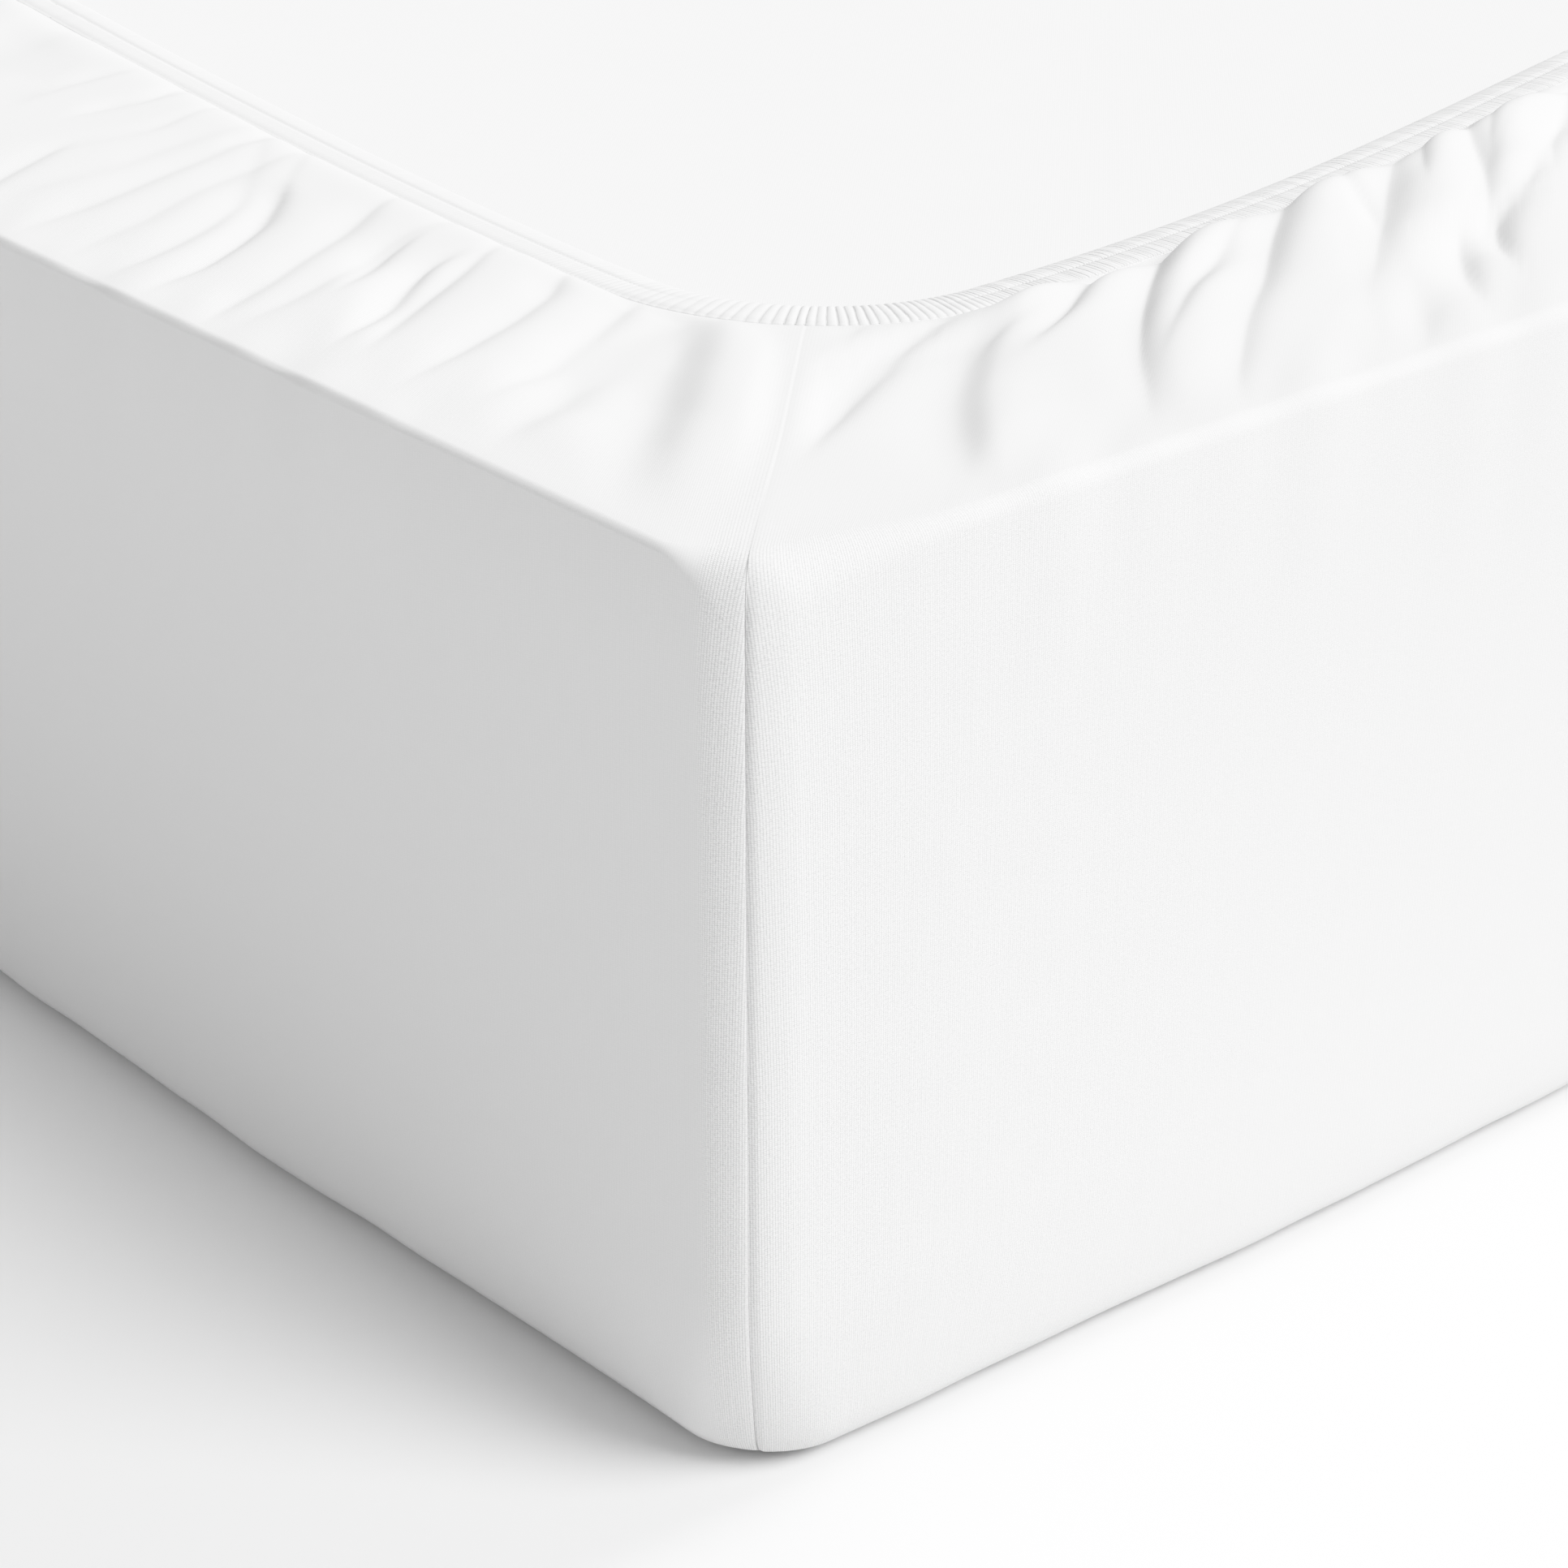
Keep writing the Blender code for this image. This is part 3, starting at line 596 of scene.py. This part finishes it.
def fold_depth(folds, side, along, inset):
    """How far the folds press the border down at one place on a side."""
    along, inset = along / MM, min(max(inset / MM, 0.0), CREASE_REACH - 2.0)
    row = int(inset)
    total = 0.0
    for fold in folds[side]:
        (centre, depth), (next_centre, next_depth) = fold.crease[row:row + 2]
        slant = next_centre - centre
        depth += (next_depth - depth) * (inset - row)
        across = (along - centre - slant * (inset - row)) / math.hypot(1.0, slant)
        if abs(across) > FOLD_REACH or depth == 0.0:
            continue
        width = fold.shaded if across > 0 else fold.lit
        width *= FOLD_NARROW + (1 - FOLD_NARROW) * abs(depth) / fold.deepest
        sharp = fold.sharp if across > 0 else max(fold.sharp, LIT_SHARP)
        total += depth * math.exp(-abs(across / width) ** sharp)
    from_seam = min(along * MM, SIDES[side].length - along * MM) - inset * MM
    return total * MM * blend(*SEAM_CLEAR, from_seam)


def border_lift(folds, side, along, inset, share):
    """Height of the border's upper face over the mattress, from edge, 0, to hem, 1."""
    edge_lift = HEIGHT - MATTRESS_TOP
    base = edge_lift + (HEM_LINE_LIFT - edge_lift) * blend(EDGE_SHARE, 1.0, share)
    near = min(along, SIDES[side].length - along)
    swell = share ** PUFF_RISE * (1 - share ** PUFF_DROP) / PUFF_FULL
    swell *= CORNER_SWELL + (BORDERS[side].puff - CORNER_SWELL) * blend(*CORNER_SWELL_FADE, near)
    pressed = fold_depth(folds, side, along, inset) * (1 - blend(FOLD_FADE, 1.0, share))
    lift = base + swell - pressed
    least = LEAST_LIFT + JERSEY
    if lift > least + LIFT_SOFTNESS:
        return lift
    return least + LIFT_SOFTNESS * math.exp((lift - least) / LIFT_SOFTNESS - 1)


def corner_columns(side, at_end):
    """The columns of half a corner, from its straight stretch to the seam."""
    border, length = BORDERS[side], SIDES[side].length
    near = (side, at_end) in ((FRONT, True), (END, False))
    lean = border.lean_end if at_end else border.lean_start
    centre = HEM_CENTRE - lean * (HEM_CENTRE - HEM_RADIUS)
    straight = centre - CORNER_RADIUS
    wall_path = straight + CORNER_RADIUS * math.pi / 4
    hem_path = HEM_RADIUS * math.pi / 4
    last = SEAM_COLUMNS[-1]
    step, least = NEAR_CORNER if near else FAR_CORNER
    count = max(round((wall_path - last) / step), least)
    columns = []
    for place in range(len(SEAM_COLUMNS) + count - 1):
        if place < len(SEAM_COLUMNS):
            wall_gap = hem_gap = SEAM_COLUMNS[place] or (0.0 if at_end else SEAM_STEP)
        else:
            share = (place - len(SEAM_COLUMNS) + 1) / count
            wall_gap = last + (wall_path - last) * share
            hem_gap = last + (hem_path - last) * share
        path = wall_path - wall_gap
        if path <= straight:
            wall_angle = math.atan2(path, centre)
        else:
            turned = (path - straight) / CORNER_RADIUS
            wall_angle = math.atan2(centre - CORNER_RADIUS * (1 - math.sin(turned)),
                                    centre - CORNER_RADIUS * (1 - math.cos(turned)))
        hem_angle = (hem_path - hem_gap) / HEM_RADIUS
        sign = 1 if at_end else -1
        columns.append(Column(
            Ray(side, length - centre if at_end else centre, sign * wall_angle),
            Ray(side, length - HEM_CENTRE if at_end else HEM_CENTRE, sign * hem_angle),
            wall_gap, wall_gap, not at_end))
    return columns[::-1] if at_end else columns


def side_columns(side):
    """The columns of one side, from seam to seam, with their places on the cloth."""
    length = SIDES[side].length
    saved = CORNER_RADIUS * (1 - math.pi / 4)      # what the round corner saves of the way
    total = length - 2 * saved
    columns = corner_columns(side, False)
    at = HEM_CENTRE
    places = []
    while at < length - HEM_CENTRE - NEAR_STEP / 2:
        places.append(at)
        from_shared = {FRONT: length - at, END: at}.get(side, length)
        at += NEAR_STEP + (FAR_STEP - NEAR_STEP) * blend(0, NEAR_FADE, from_shared - NEAR_REACH)
    squeeze = (length - 2 * HEM_CENTRE) / (at - HEM_CENTRE)
    for place in places:
        at = HEM_CENTRE + (place - HEM_CENTRE) * squeeze
        foot = at + lean_at(side, at) * hem_inset(side, at)
        gap = min(foot, length - foot) - saved
        columns.append(Column(Ray(side, foot, 0.0), Ray(side, at, 0.0), gap, gap,
                              foot < length / 2))
    columns += corner_columns(side, True)
    before = sum(SIDES[other].length - 2 * saved for other in range(side))
    return [column._replace(cloth=before + (column.gap if column.after else total - column.gap))
            for column in columns]


def seam_dip(column, depth):
    """How far the cloth sinks beside a corner seam."""
    if column.after:
        return depth * max(1 - column.gap / SEAM_WIDTH, 0.0) ** SEAM_POWER
    roll = column.gap / SEAM_ROLL_WIDTH
    over = SEAM_ROLL_RISE * roll * math.exp(-roll * SEAM_ROLL_FALL)
    return -SEAM_ROLL * depth / SEAM_DEPTH * over


def top_round(column):
    """How far the upper edge is rounded at a column: more by a corner seam."""
    reach = CORNER_TOP_REACH[0 if column.wall.side == FRONT else 1]
    least = TOP_ROUND if column.wall.side == FRONT else PLAIN_TOP_ROUND
    near = 1 - blend(CORNER_TOP_START, reach, column.gap)
    return least + (CORNER_TOP_ROUND - least) * near


def waves(table, along, side):
    """The sum of a table's waves at a place along a side."""
    return MM * sum(height * math.sin(2 * math.pi * along / length + shift * side)
                    for height, length, shift in table)


def floor_wave(along, side):
    """How far the lower edge is pulled up between the places where it is tight."""
    pulled = END_FLOOR_PULL if side == END else FLOOR_PULL
    return pulled * (FLOOR_PULL_MEAN + waves(FLOOR_WAVES, along, side))


def make_jersey():
    """White jersey: close ribs of loops, the loops of one rib between those of the next."""
    finish, shader, place = new_finish("white_jersey", roughness=0.95, sheen=0.05,
                                       coordinate="UV")
    across, along = place.part(0) / WALE, place.part(1) / COURSE
    relief = place.node("ShaderNodeAttribute", {}, output=2, attribute_name="relief")
    off_rib = abs(across.fraction() - 0.5) * 2.0
    rib = 1.0 - off_rib * off_rib
    start = ((across - across.fraction()) * RIB_START).fraction()
    turn = (along + start * RIB_START_SPREAD + off_rib * LOOP_SLANT) * (2 * math.pi)
    uneven, grain = place.noise(UNEVEN_SCALE, detail=3.0), place.noise(GRAIN_SCALE, detail=1.0)
    height = rib * (RIB_SHARE + UNEVEN_SHARE * uneven + turn.sine() * LOOP_SHARE
                    + start * START_SHARE)
    # Painted shade: the colour darkens where the knit's height is low, in its grooves, with a fine random
    # grain; relief scales both, and the bump too
    tone = MIDDLE_TONE + (height - MIDDLE_HEIGHT + (grain - 0.5) * GRAIN_SHARE) * relief * CONTRAST
    set_surface(shader, tone.grey(JERSEY_SHADE_AND_GRAIN, JERSEY_WHITE), height * relief, KNIT_DEPTH)
    return finish


def close_floor(mesh):
    """Fills the lowest open ring of a wrapped mesh with one flat face."""
    rim = [edge for edge in mesh.edges if edge.is_boundary]
    lowest = min(vert.co.z for edge in rim for vert in edge.verts)
    bmesh.ops.holes_fill(mesh, edges=[edge for edge in rim
                                      if max(v.co.z for v in edge.verts) < lowest + FLOOR_RING])


def make_sheet():
    """The sheet's outer face, from the middle of the floor up its walls and in to the hem."""
    columns = [column for side in range(4) for column in side_columns(side)]
    folds = all_folds()
    walls = [wall_rows(0.0, 0.0, HEIGHT, top_round(column), SHEET_HEIGHTS, *SHEET_CUTS)
             for column in columns]
    wall_count = len(walls[0])
    shares = [1 - (1 - (row + 1) / BORDER_ROWS) ** BORDER_CROWD for row in range(BORDER_ROWS)]
    starts = [crossing(column.wall, top_round(column), CORNER_RADIUS - top_round(column))
              for column in columns]
    ends = [hem_crossing(column.hem, 0.0) for column in columns]

    def place(index, row):
        column, row_on_border = columns[index], row - wall_count
        ray, side = column.wall, column.wall.side
        wave = waves(EDGE_WAVES, ray.at, side) * DIAGONAL
        if row < wall_count:
            inset, z, tilt = walls[index][row]
            dip = seam_dip(column, SEAM_DEPTH + (BORDER_SEAM_DEPTH - SEAM_DEPTH)
                           * blend(0.0, math.radians(SEAM_FADE_TILT), tilt))
            wave *= blend(EDGE_WAVE_START, HEIGHT - TOP_ROUND, z)
            pulled = floor_wave(ray.at, side) * (1 - blend(0.0, FLOOR_WAVE_TOP, z))
            x, y, z = wall_place(ray, inset - wave + FLOOR_PULL_IN * pulled,
                                 z + wave * blend(*EDGE_LIFT_TILT, tilt)
                                 + pulled * blend(*FLOOR_LIFT_TILT, tilt), tilt, dip)
            return x, y, max(z, 0.0)
        if row_on_border < BORDER_ROWS:
            share = shares[row_on_border]
            along, inset = (a + (b - a) * share for a, b in zip(starts[index], ends[index]))
            lift = border_lift(folds, side, along, inset, share)
            lift -= seam_dip(column, BORDER_SEAM_DEPTH)
            lift += wave * (1 - blend(0.0, EDGE_WAVE_END, share))
            return drawn_in(*to_plan(side, along, inset), MATTRESS_TOP + lift)
        inward, lift = TUCKED_ROWS[row_on_border - BORDER_ROWS]
        return to_plan(side, *hem_crossing(column.hem, inward)) + (MATTRESS_TOP + lift,)

    def on_cloth(index, row):
        at = index % len(columns)
        column = columns[at]
        cloth = column.cloth
        if index == len(columns):
            cloth += columns[-1].cloth + columns[-1].gap
        if row < wall_count:
            inset, z, _ = walls[at][row]
            up = z + inset * (EDGE_WAY if z > HEIGHT / 2 else -EDGE_WAY)
        else:
            z = HEIGHT
            share = shares[row - wall_count] if row < wall_count + BORDER_ROWS else TUCKED_SHARE
            up = HEIGHT + EDGE_WAY * top_round(column) + math.dist(starts[at], ends[at]) * share
        pull = RIB_PULL * math.exp((z - HEIGHT) / RIB_PULL_HEIGHT - column.gap / RIB_PULL_WIDTH)
        return cloth + (pull if column.after else -pull), up

    def relief(index, row):
        column, row_on_border = columns[index], row - wall_count
        shows = stepped(1.0, RELIEF_STEPS, column.gap)
        border = BORDER_RELIEF
        if column.wall.side == FRONT:
            shows *= stepped(1.0, FRONT_RELIEF_STEPS, column.gap)
            border += (FRONT_BORDER_RELIEF - BORDER_RELIEF) * (
                1 - blend(*FRONT_RELIEF_ROWS, row_on_border))
        return shows + (border - shows) * blend(*BORDER_RELIEF_ROWS, row_on_border)

    mesh = wrap(len(columns), wall_count + BORDER_ROWS + len(TUCKED_ROWS), place, on_cloth, relief)
    close_floor(mesh)
    return make_piece("jersey_sheet", mesh, make_jersey())


sheet = make_sheet()
thickness = sheet.modifiers.new("jersey_thickness", "SOLIDIFY")
thickness.thickness = JERSEY
thickness.offset = -1.0
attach(sheet, "root")
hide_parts("fitted_sheet")


# ----------------------------------------------------------------------------------- the hem
# The border's edge is turned over a narrow elastic and stitched down in two rows, which makes
# two tracks. The elastic draws the jersey into ribs, fine ones by the near corner.

HEM_STEP, HEM_ARC_STEPS = 1.0 * MM, 60      # of the table of points on the hem's outer line
RIB_COLUMNS = (0.0, 0.08, 0.18, 0.36, 0.62, 0.82)       # of a near rib, and of a far one
FAR_RIB_COLUMNS = (0.0, 0.2, 0.5, 0.8)
VIEW_REACH, VIEW_FADE = 330 * MM, 60 * MM   # along the hem, to either side of the near corner
FLAT_START, FLAT_FADE = (10 * MM, 90 * MM), 100 * MM    # along FRONT, and past the view
GROOVE_START = (20 * MM, 75 * MM)           # from the near corner

# The ribs' pitch, height and unevenness: in millimetres at the near corner's diagonal, and the
# steps of (change, from, to) along the hem to either side. Past the view they widen and rise
RIB_PITCH = {END: (2.7, ((-1.5, 25, 80),)), FRONT: (2.7, ((0.9, 0, 20), (-2.0, 35, 80)))}
RIB_HEIGHT = {END: (0.46, ((-0.20, 15, 90),)), FRONT: (0.50, ((-0.27, 6, 40), (-0.15, 40, 120)))}
RIB_UNEVEN = (0.1, ((0.22, 30, 70),))
NEAR_RIB, FAR_RIB, LEAST_RIB, FAR_RIB_RISE = 1.6 * MM, 11 * MM, 0.5 * MM, 1.2
# A rib over its width: how fast it rises, where it starts to fall, and the share of its height
# that lies below the hem's own surface
RIB_RISE, RIB_FALL, RIB_SUNK = 0.13, 0.62, 0.75

# By chance a rib is taller or lower, tilts across the hem, parts from its like on the second
# track, and kinks. The tracks' ribs go their own way outside the corner
RIB_APART = (30 * MM, 80 * MM)
RIB_TALL = ((0.75, -0.4), (1.2, 0.3))       # least and most, with their changes outside
RIB_TILT, RIB_PART, RIB_KINK = 0.12, 0.25, 0.08
SECOND_TRACK = (0.42, 0.58)                 # of the way across, where it takes over
RIB_SEED = 11

# Across the hem, in millimetres: inward from its outer line, lift over the mattress, how far
# the tracks' crowns fall where the elastic lies flat, and how strongly the ribs show
HEM_WIDTH = 18
HEM_PROFILE = (
    (0.3, 1.5, 0.0, 0.0),
    (0.0, 2.2, 0.0, 0.4),
    (0.5, 2.75, 0.1, 0.7),
    (1.1, 2.5, 0.2, 0.7),
    (1.7, 2.9, 0.2, 0.9),
    (4.4, 3.0, 0.3, 1.0),
    (7.4, 2.95, 0.3, 1.0),
    (8.5, 2.85, 0.3, 0.9),
    (9.0, 2.5, 0.3, 0.8),
    (9.5, 2.85, 0.3, 0.9),
    (11.6, 2.85, 0.5, 1.0),
    (14.0, 2.6, 0.6, 1.0),
    (16.2, 2.1, 0.6, 0.8),
    (17.5, 1.5, 0.4, 0.5),
    (18.0, 0.9, 0.1, 0.2),
    (17.6, 0.6, 0.0, 0.0),
    (9.0, 0.6, 0.0, 0.0),
)
GROOVE_ROW = 8                    # of the profile; it is level with the crown in the near corner
CROWN, CROWN_FALL = 2.95, 0.3     # in millimetres, and how far it falls where the hem lies flat
HEM_RELIEF = 0.1                  # how much of the knit's relief shows


def hem_table():
    """Points of the hem's outer line as (path, x, y, way in x, way in y), from the diagonal of
    the corner that FRONT and END share, anticlockwise right round."""
    points = []
    for side in (END, BACK, FAR_END, FRONT):
        length = SIDES[side].length
        arc = [math.radians(45 - 45 / HEM_ARC_STEPS * step) for step in range(HEM_ARC_STEPS)]
        rays = [Ray(side, HEM_CENTRE, -turn) for turn in arc]
        steps = round((length - 2 * HEM_CENTRE) / HEM_STEP)
        rays += [Ray(side, HEM_CENTRE + (length - 2 * HEM_CENTRE) * step / steps, 0.0)
                 for step in range(steps + 1)]
        rays += [Ray(side, length - HEM_CENTRE, turn) for turn in reversed(arc[1:])]
        points += [Vector(to_plan(side, *hem_crossing(ray, 0.0))) for ray in rays]
    table, path = [], 0.0
    count = len(points)
    for i, point in enumerate(points):
        tangent = (points[(i + 1) % count] - points[i - 1]).normalized()
        table.append((path, point.x, point.y, -tangent.y, tangent.x))
        path += (points[(i + 1) % count] - point).length
    first = table[0]
    return table + [(path, *first[1:])]


hem_points = hem_table()
hem_length = hem_points[-1][0]
hem_paths = [point[0] for point in hem_points]


def on_hem(path, inward):
    """Plan place at a path along the hem and inward of its outer line."""
    path %= hem_length
    i = min(bisect_right(hem_paths, path), len(hem_points) - 1)
    (path_a, *a), (path_b, *b) = hem_points[i - 1], hem_points[i]
    t = (path - path_a) / (path_b - path_a)
    x, y, in_x, in_y = (p + (q - p) * t for p, q in zip(a, b))
    return x + in_x * inward, y + in_y * inward


def from_corner(path):
    """Signed path from the near corner's diagonal: above 0 towards END, below 0 to FRONT."""
    return path if path < hem_length / 2 else path - hem_length


def past_view(near, fade=VIEW_FADE):
    """0 for the hem's part in view, 1 past it."""
    return blend(VIEW_REACH, VIEW_REACH + fade, abs(near))


def rib_pitch(near):
    """Spacing of the ribs at a signed path from the near corner."""
    pitch = stepped(*RIB_PITCH[END if near > 0 else FRONT], abs(near))
    return pitch * MM + (FAR_RIB - NEAR_RIB) * past_view(near)


def rib_height(near):
    """How far the ribs stand up at a signed path from the near corner."""
    height = stepped(*RIB_HEIGHT[END if near > 0 else FRONT], abs(near))
    return height * MM * (1 + FAR_RIB_RISE * past_view(near))


def flatness(near):
    """0 where the hem's two tracks stand round, 1 where it lies flat."""
    return blend(*FLAT_START, -near) * (1 - past_view(near, FLAT_FADE))


def groove_share(near):
    """How much of the groove between the tracks shows: none in the near corner."""
    return blend(*GROOVE_START, abs(near))


def hem_lift(near, row):
    """Height of the hem over the mattress without its ribs."""
    _, lift, fall, _ = HEM_PROFILE[row]
    lift -= fall * flatness(near)
    if abs(row - GROOVE_ROW) <= 1:
        lift += (CROWN - CROWN_FALL * flatness(near) - lift) * (1 - groove_share(near))
    return lift * MM


def rib_profile(phase):
    """Height of a rib over its width: it rises out of a crease, then falls into the next."""
    return (1 - math.exp(-phase / RIB_RISE)) * (1 - blend(RIB_FALL, 1.0, phase))


def make_hem():
    """The hem: a closed band whose columns follow its ribs."""
    dice = random.Random(RIB_SEED)
    starts, path = [], 0.0
    while path < hem_length - LEAST_RIB:
        starts.append(path)
        uneven = stepped(*RIB_UNEVEN, abs(from_corner(path)))
        path += rib_pitch(from_corner(path)) * (1 + dice.uniform(-1, 1) * uneven)
    squeeze = hem_length / path
    starts = [start * squeeze for start in starts]
    ends = starts[1:] + [hem_length]
    ribs = []
    for start in starts:
        near = from_corner(start)
        pitch = rib_pitch(near)
        apart = blend(*RIB_APART, abs(near))
        ribs.append((dice.uniform(*(limit + change * apart for limit, change in RIB_TALL)),
                     dice.uniform(-1, 1) * RIB_TILT * pitch,
                     dice.uniform(-1, 1) * RIB_PART * pitch * apart,
                     dice.uniform(-1, 1) * RIB_KINK * pitch * (1 + apart)))
    columns = []
    for i, start in enumerate(starts):
        far = abs(from_corner(start)) > VIEW_REACH + VIEW_FADE
        columns += [(i, phase) for phase in (FAR_RIB_COLUMNS if far else RIB_COLUMNS)]

    def place(index, row):
        i, phase = columns[index]
        inward, _, _, shows = HEM_PROFILE[row]
        across = inward / HEM_WIDTH
        lean = (across - 0.5, blend(*SECOND_TRACK, across), math.sin(across * 2 * math.pi))
        here, ahead = (sum(a * b for a, b in zip(ribs[j % len(ribs)][1:], lean))
                       for j in (i, i + 1))
        path = starts[i] + (ends[i] - starts[i]) * phase + here * (1 - phase) + ahead * phase
        near = from_corner(starts[i])
        rise = rib_height(near) * ribs[i][0] * shows * (rib_profile(phase) - RIB_SUNK)
        return on_hem(path, inward * MM) + (MATTRESS_TOP + hem_lift(near, row) + rise,)

    def on_cloth(index, row):
        i, phase = columns[index % len(columns)]
        path = starts[i] + (ends[i] - starts[i]) * phase
        return path + (hem_length if index == len(columns) else 0.0), HEM_PROFILE[row][0] * MM

    mesh = wrap(len(columns), len(HEM_PROFILE), place, on_cloth, lambda index, row: HEM_RELIEF)
    rim = [edge for edge in mesh.edges if edge.is_boundary]
    bmesh.ops.bridge_loops(mesh, edges=rim)
    bmesh.ops.recalc_face_normals(mesh, faces=mesh.faces[:])
    return make_piece("gathered_hem", mesh, sheet.data.materials[0])


hem = make_hem()
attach(hem, "root")


# ------------------------------------------------------------------------------ the stitching
# Two rows of white cotton stitches hold the hem and its elastic down: one along the outer line
# where the border begins, one in the groove between the tracks. Short threads, sunk in a little.

STITCH_ROWS = ((1.1 * MM, 3), (9.0 * MM, GROOVE_ROW))    # inward, and row of the hem's profile
STITCH_PITCH, PITCH_SPREAD = 3.1 * MM, (0.92, 1.08)
STITCH_SIZE, SIZE_SPREAD = (2.2 * MM, 0.34 * MM, 0.12 * MM), (0.85, 1.1)
STITCH_WANDER = 0.12              # millimetres off its row, and radians off its direction
STITCH_SINK = 0.02 * MM
GROOVE_SEEN = 0.5                 # less of a groove than this hides its stitches in the gathers
THREAD_WHITE, THREAD_SHADE = 0.77, 0.73
TWIST_SCALE, TWIST_DEPTH = 2500.0, 0.02 * MM
STITCH_SEED = 5


def make_thread():
    """White cotton thread with a fine twist."""
    finish, shader, place = new_finish("white_thread", roughness=0.8, sheen=0.0,
                                       coordinate="Object")
    twist = place.noise(TWIST_SCALE, detail=1.0)
    set_surface(shader, twist.grey(THREAD_SHADE, THREAD_WHITE), twist, TWIST_DEPTH)
    return finish


def make_stitches():
    """Both rows of stitches, each stitch a small long bead along the hem."""
    dice = random.Random(STITCH_SEED)
    mesh = bmesh.new()
    for inward, row in STITCH_ROWS:
        path = 0.0
        while path < hem_length - STITCH_PITCH / 2:
            near = from_corner(path)
            if row == GROOVE_ROW and groove_share(near) < GROOVE_SEEN:
                path += STITCH_PITCH
                continue
            off_row = inward + dice.uniform(-1, 1) * STITCH_WANDER * MM
            here, ahead = Vector(on_hem(path, off_row)), Vector(on_hem(path + MM, off_row))
            turn = math.atan2(ahead.y - here.y, ahead.x - here.x)
            turn += dice.uniform(-1, 1) * STITCH_WANDER
            z = MATTRESS_TOP + hem_lift(near, row) - STITCH_SINK
            size = [value * dice.uniform(*SIZE_SPREAD) for value in STITCH_SIZE]
            bmesh.ops.create_icosphere(
                mesh, subdivisions=1, radius=0.5,
                matrix=Matrix.Translation((here.x, here.y, z)) @ Matrix.Rotation(turn, 4, "Z")
                @ Matrix.Diagonal((*size, 1.0)))
            path += STITCH_PITCH * dice.uniform(*PITCH_SPREAD)
    return make_piece("hem_stitches", mesh, make_thread())


stitches = make_stitches()
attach(stitches, "root")


# -------------------------------------------------------------------- floor, light and camera
# A plain white floor, a soft white sky, a broad lamp from the right and one from behind. The
# film's answer flattens the whites a little, as in a bright studio photograph.

HALF_FLOOR, FLOOR_DROP = 9.0, 0.2 * MM
FLOOR_WHITE = (0.95, 0.95, 0.95, 1.0)
SKY = 0.482
# The lamps: strength, then spread, height over the floor and turn from square to END, in degrees
LAMPS = ((2.15, 30, 47, 20), (1.80, 30, 40, 90))
# How the film answers to light: straight up to the first point, then ever softer
FILM_WHITE = 1.5
FILM_STRAIGHT = 0.6
FILM_POINTS = 12
CAMERA_LENS, CAMERA_SENSOR, CAMERA_CLIP = 90.72, 36.0, 0.02
CAMERA_PLACE = (1.592, -1.201, 0.585)
CAMERA_TILT, CAMERA_TURN = 63.78, 49.22     # degrees up from straight down, and anticlockwise


def make_floor():
    """A broad plane just under the object."""
    mesh = bmesh.new()
    bmesh.ops.create_grid(mesh, x_segments=1, y_segments=1, size=HALF_FLOOR,
                          matrix=Matrix.Translation((0, 0, -FLOOR_DROP)))
    finish = bpy.data.materials.new("floor_white")
    finish.use_nodes = True
    shader = finish.node_tree.nodes["Principled BSDF"]
    shader.inputs["Base Color"].default_value = FLOOR_WHITE
    shader.inputs["Roughness"].default_value = 1.0
    shader.inputs["Specular IOR Level"].default_value = 0.0
    return make_piece("floor", mesh, finish)


make_floor()

scene = bpy.context.scene
world = bpy.data.worlds.new("sky")
world.use_nodes = True
background = world.node_tree.nodes["Background"]
background.inputs["Color"].default_value = (1.0, 1.0, 1.0, 1.0)
background.inputs["Strength"].default_value = SKY
scene.world = world
scene.view_settings.view_transform = "Standard"

for i, (strength, spread, up, around) in enumerate(LAMPS):
    lamp = bpy.data.objects.new(f"lamp_{i}", bpy.data.lights.new(f"lamp_{i}", "SUN"))
    lamp.data.energy = strength
    lamp.data.angle = math.radians(spread)
    up, around = math.radians(up), math.radians(around)
    lamp.rotation_euler = Vector((math.cos(up) * math.cos(around),
                                  math.cos(up) * math.sin(around),
                                  math.sin(up))).to_track_quat("Z", "Y").to_euler()
    scene.collection.objects.link(lamp)

film = scene.view_settings.curve_mapping
film.white_level = (FILM_WHITE, FILM_WHITE, FILM_WHITE)
answer = film.curves[3].points
answer[0].location = (0.0, 0.0)
answer[1].location = (1.0, 1.0)
soft = (FILM_WHITE - FILM_STRAIGHT) / (1 - FILM_STRAIGHT)
for step in range(FILM_POINTS):
    share = step / FILM_POINTS
    answer.new((FILM_STRAIGHT + (FILM_WHITE - FILM_STRAIGHT) * share) / FILM_WHITE,
               FILM_STRAIGHT + (1 - FILM_STRAIGHT) * (1 - (1 - share) ** soft))
film.update()
scene.view_settings.use_curve_mapping = True

camera = bpy.data.objects.new("camera", bpy.data.cameras.new("camera"))
camera.data.sensor_width = CAMERA_SENSOR
camera.data.lens = CAMERA_LENS
camera.data.clip_start = CAMERA_CLIP
camera.location = CAMERA_PLACE
camera.rotation_euler = (math.radians(CAMERA_TILT), 0.0, math.radians(CAMERA_TURN))
scene.collection.objects.link(camera)
scene.camera = camera
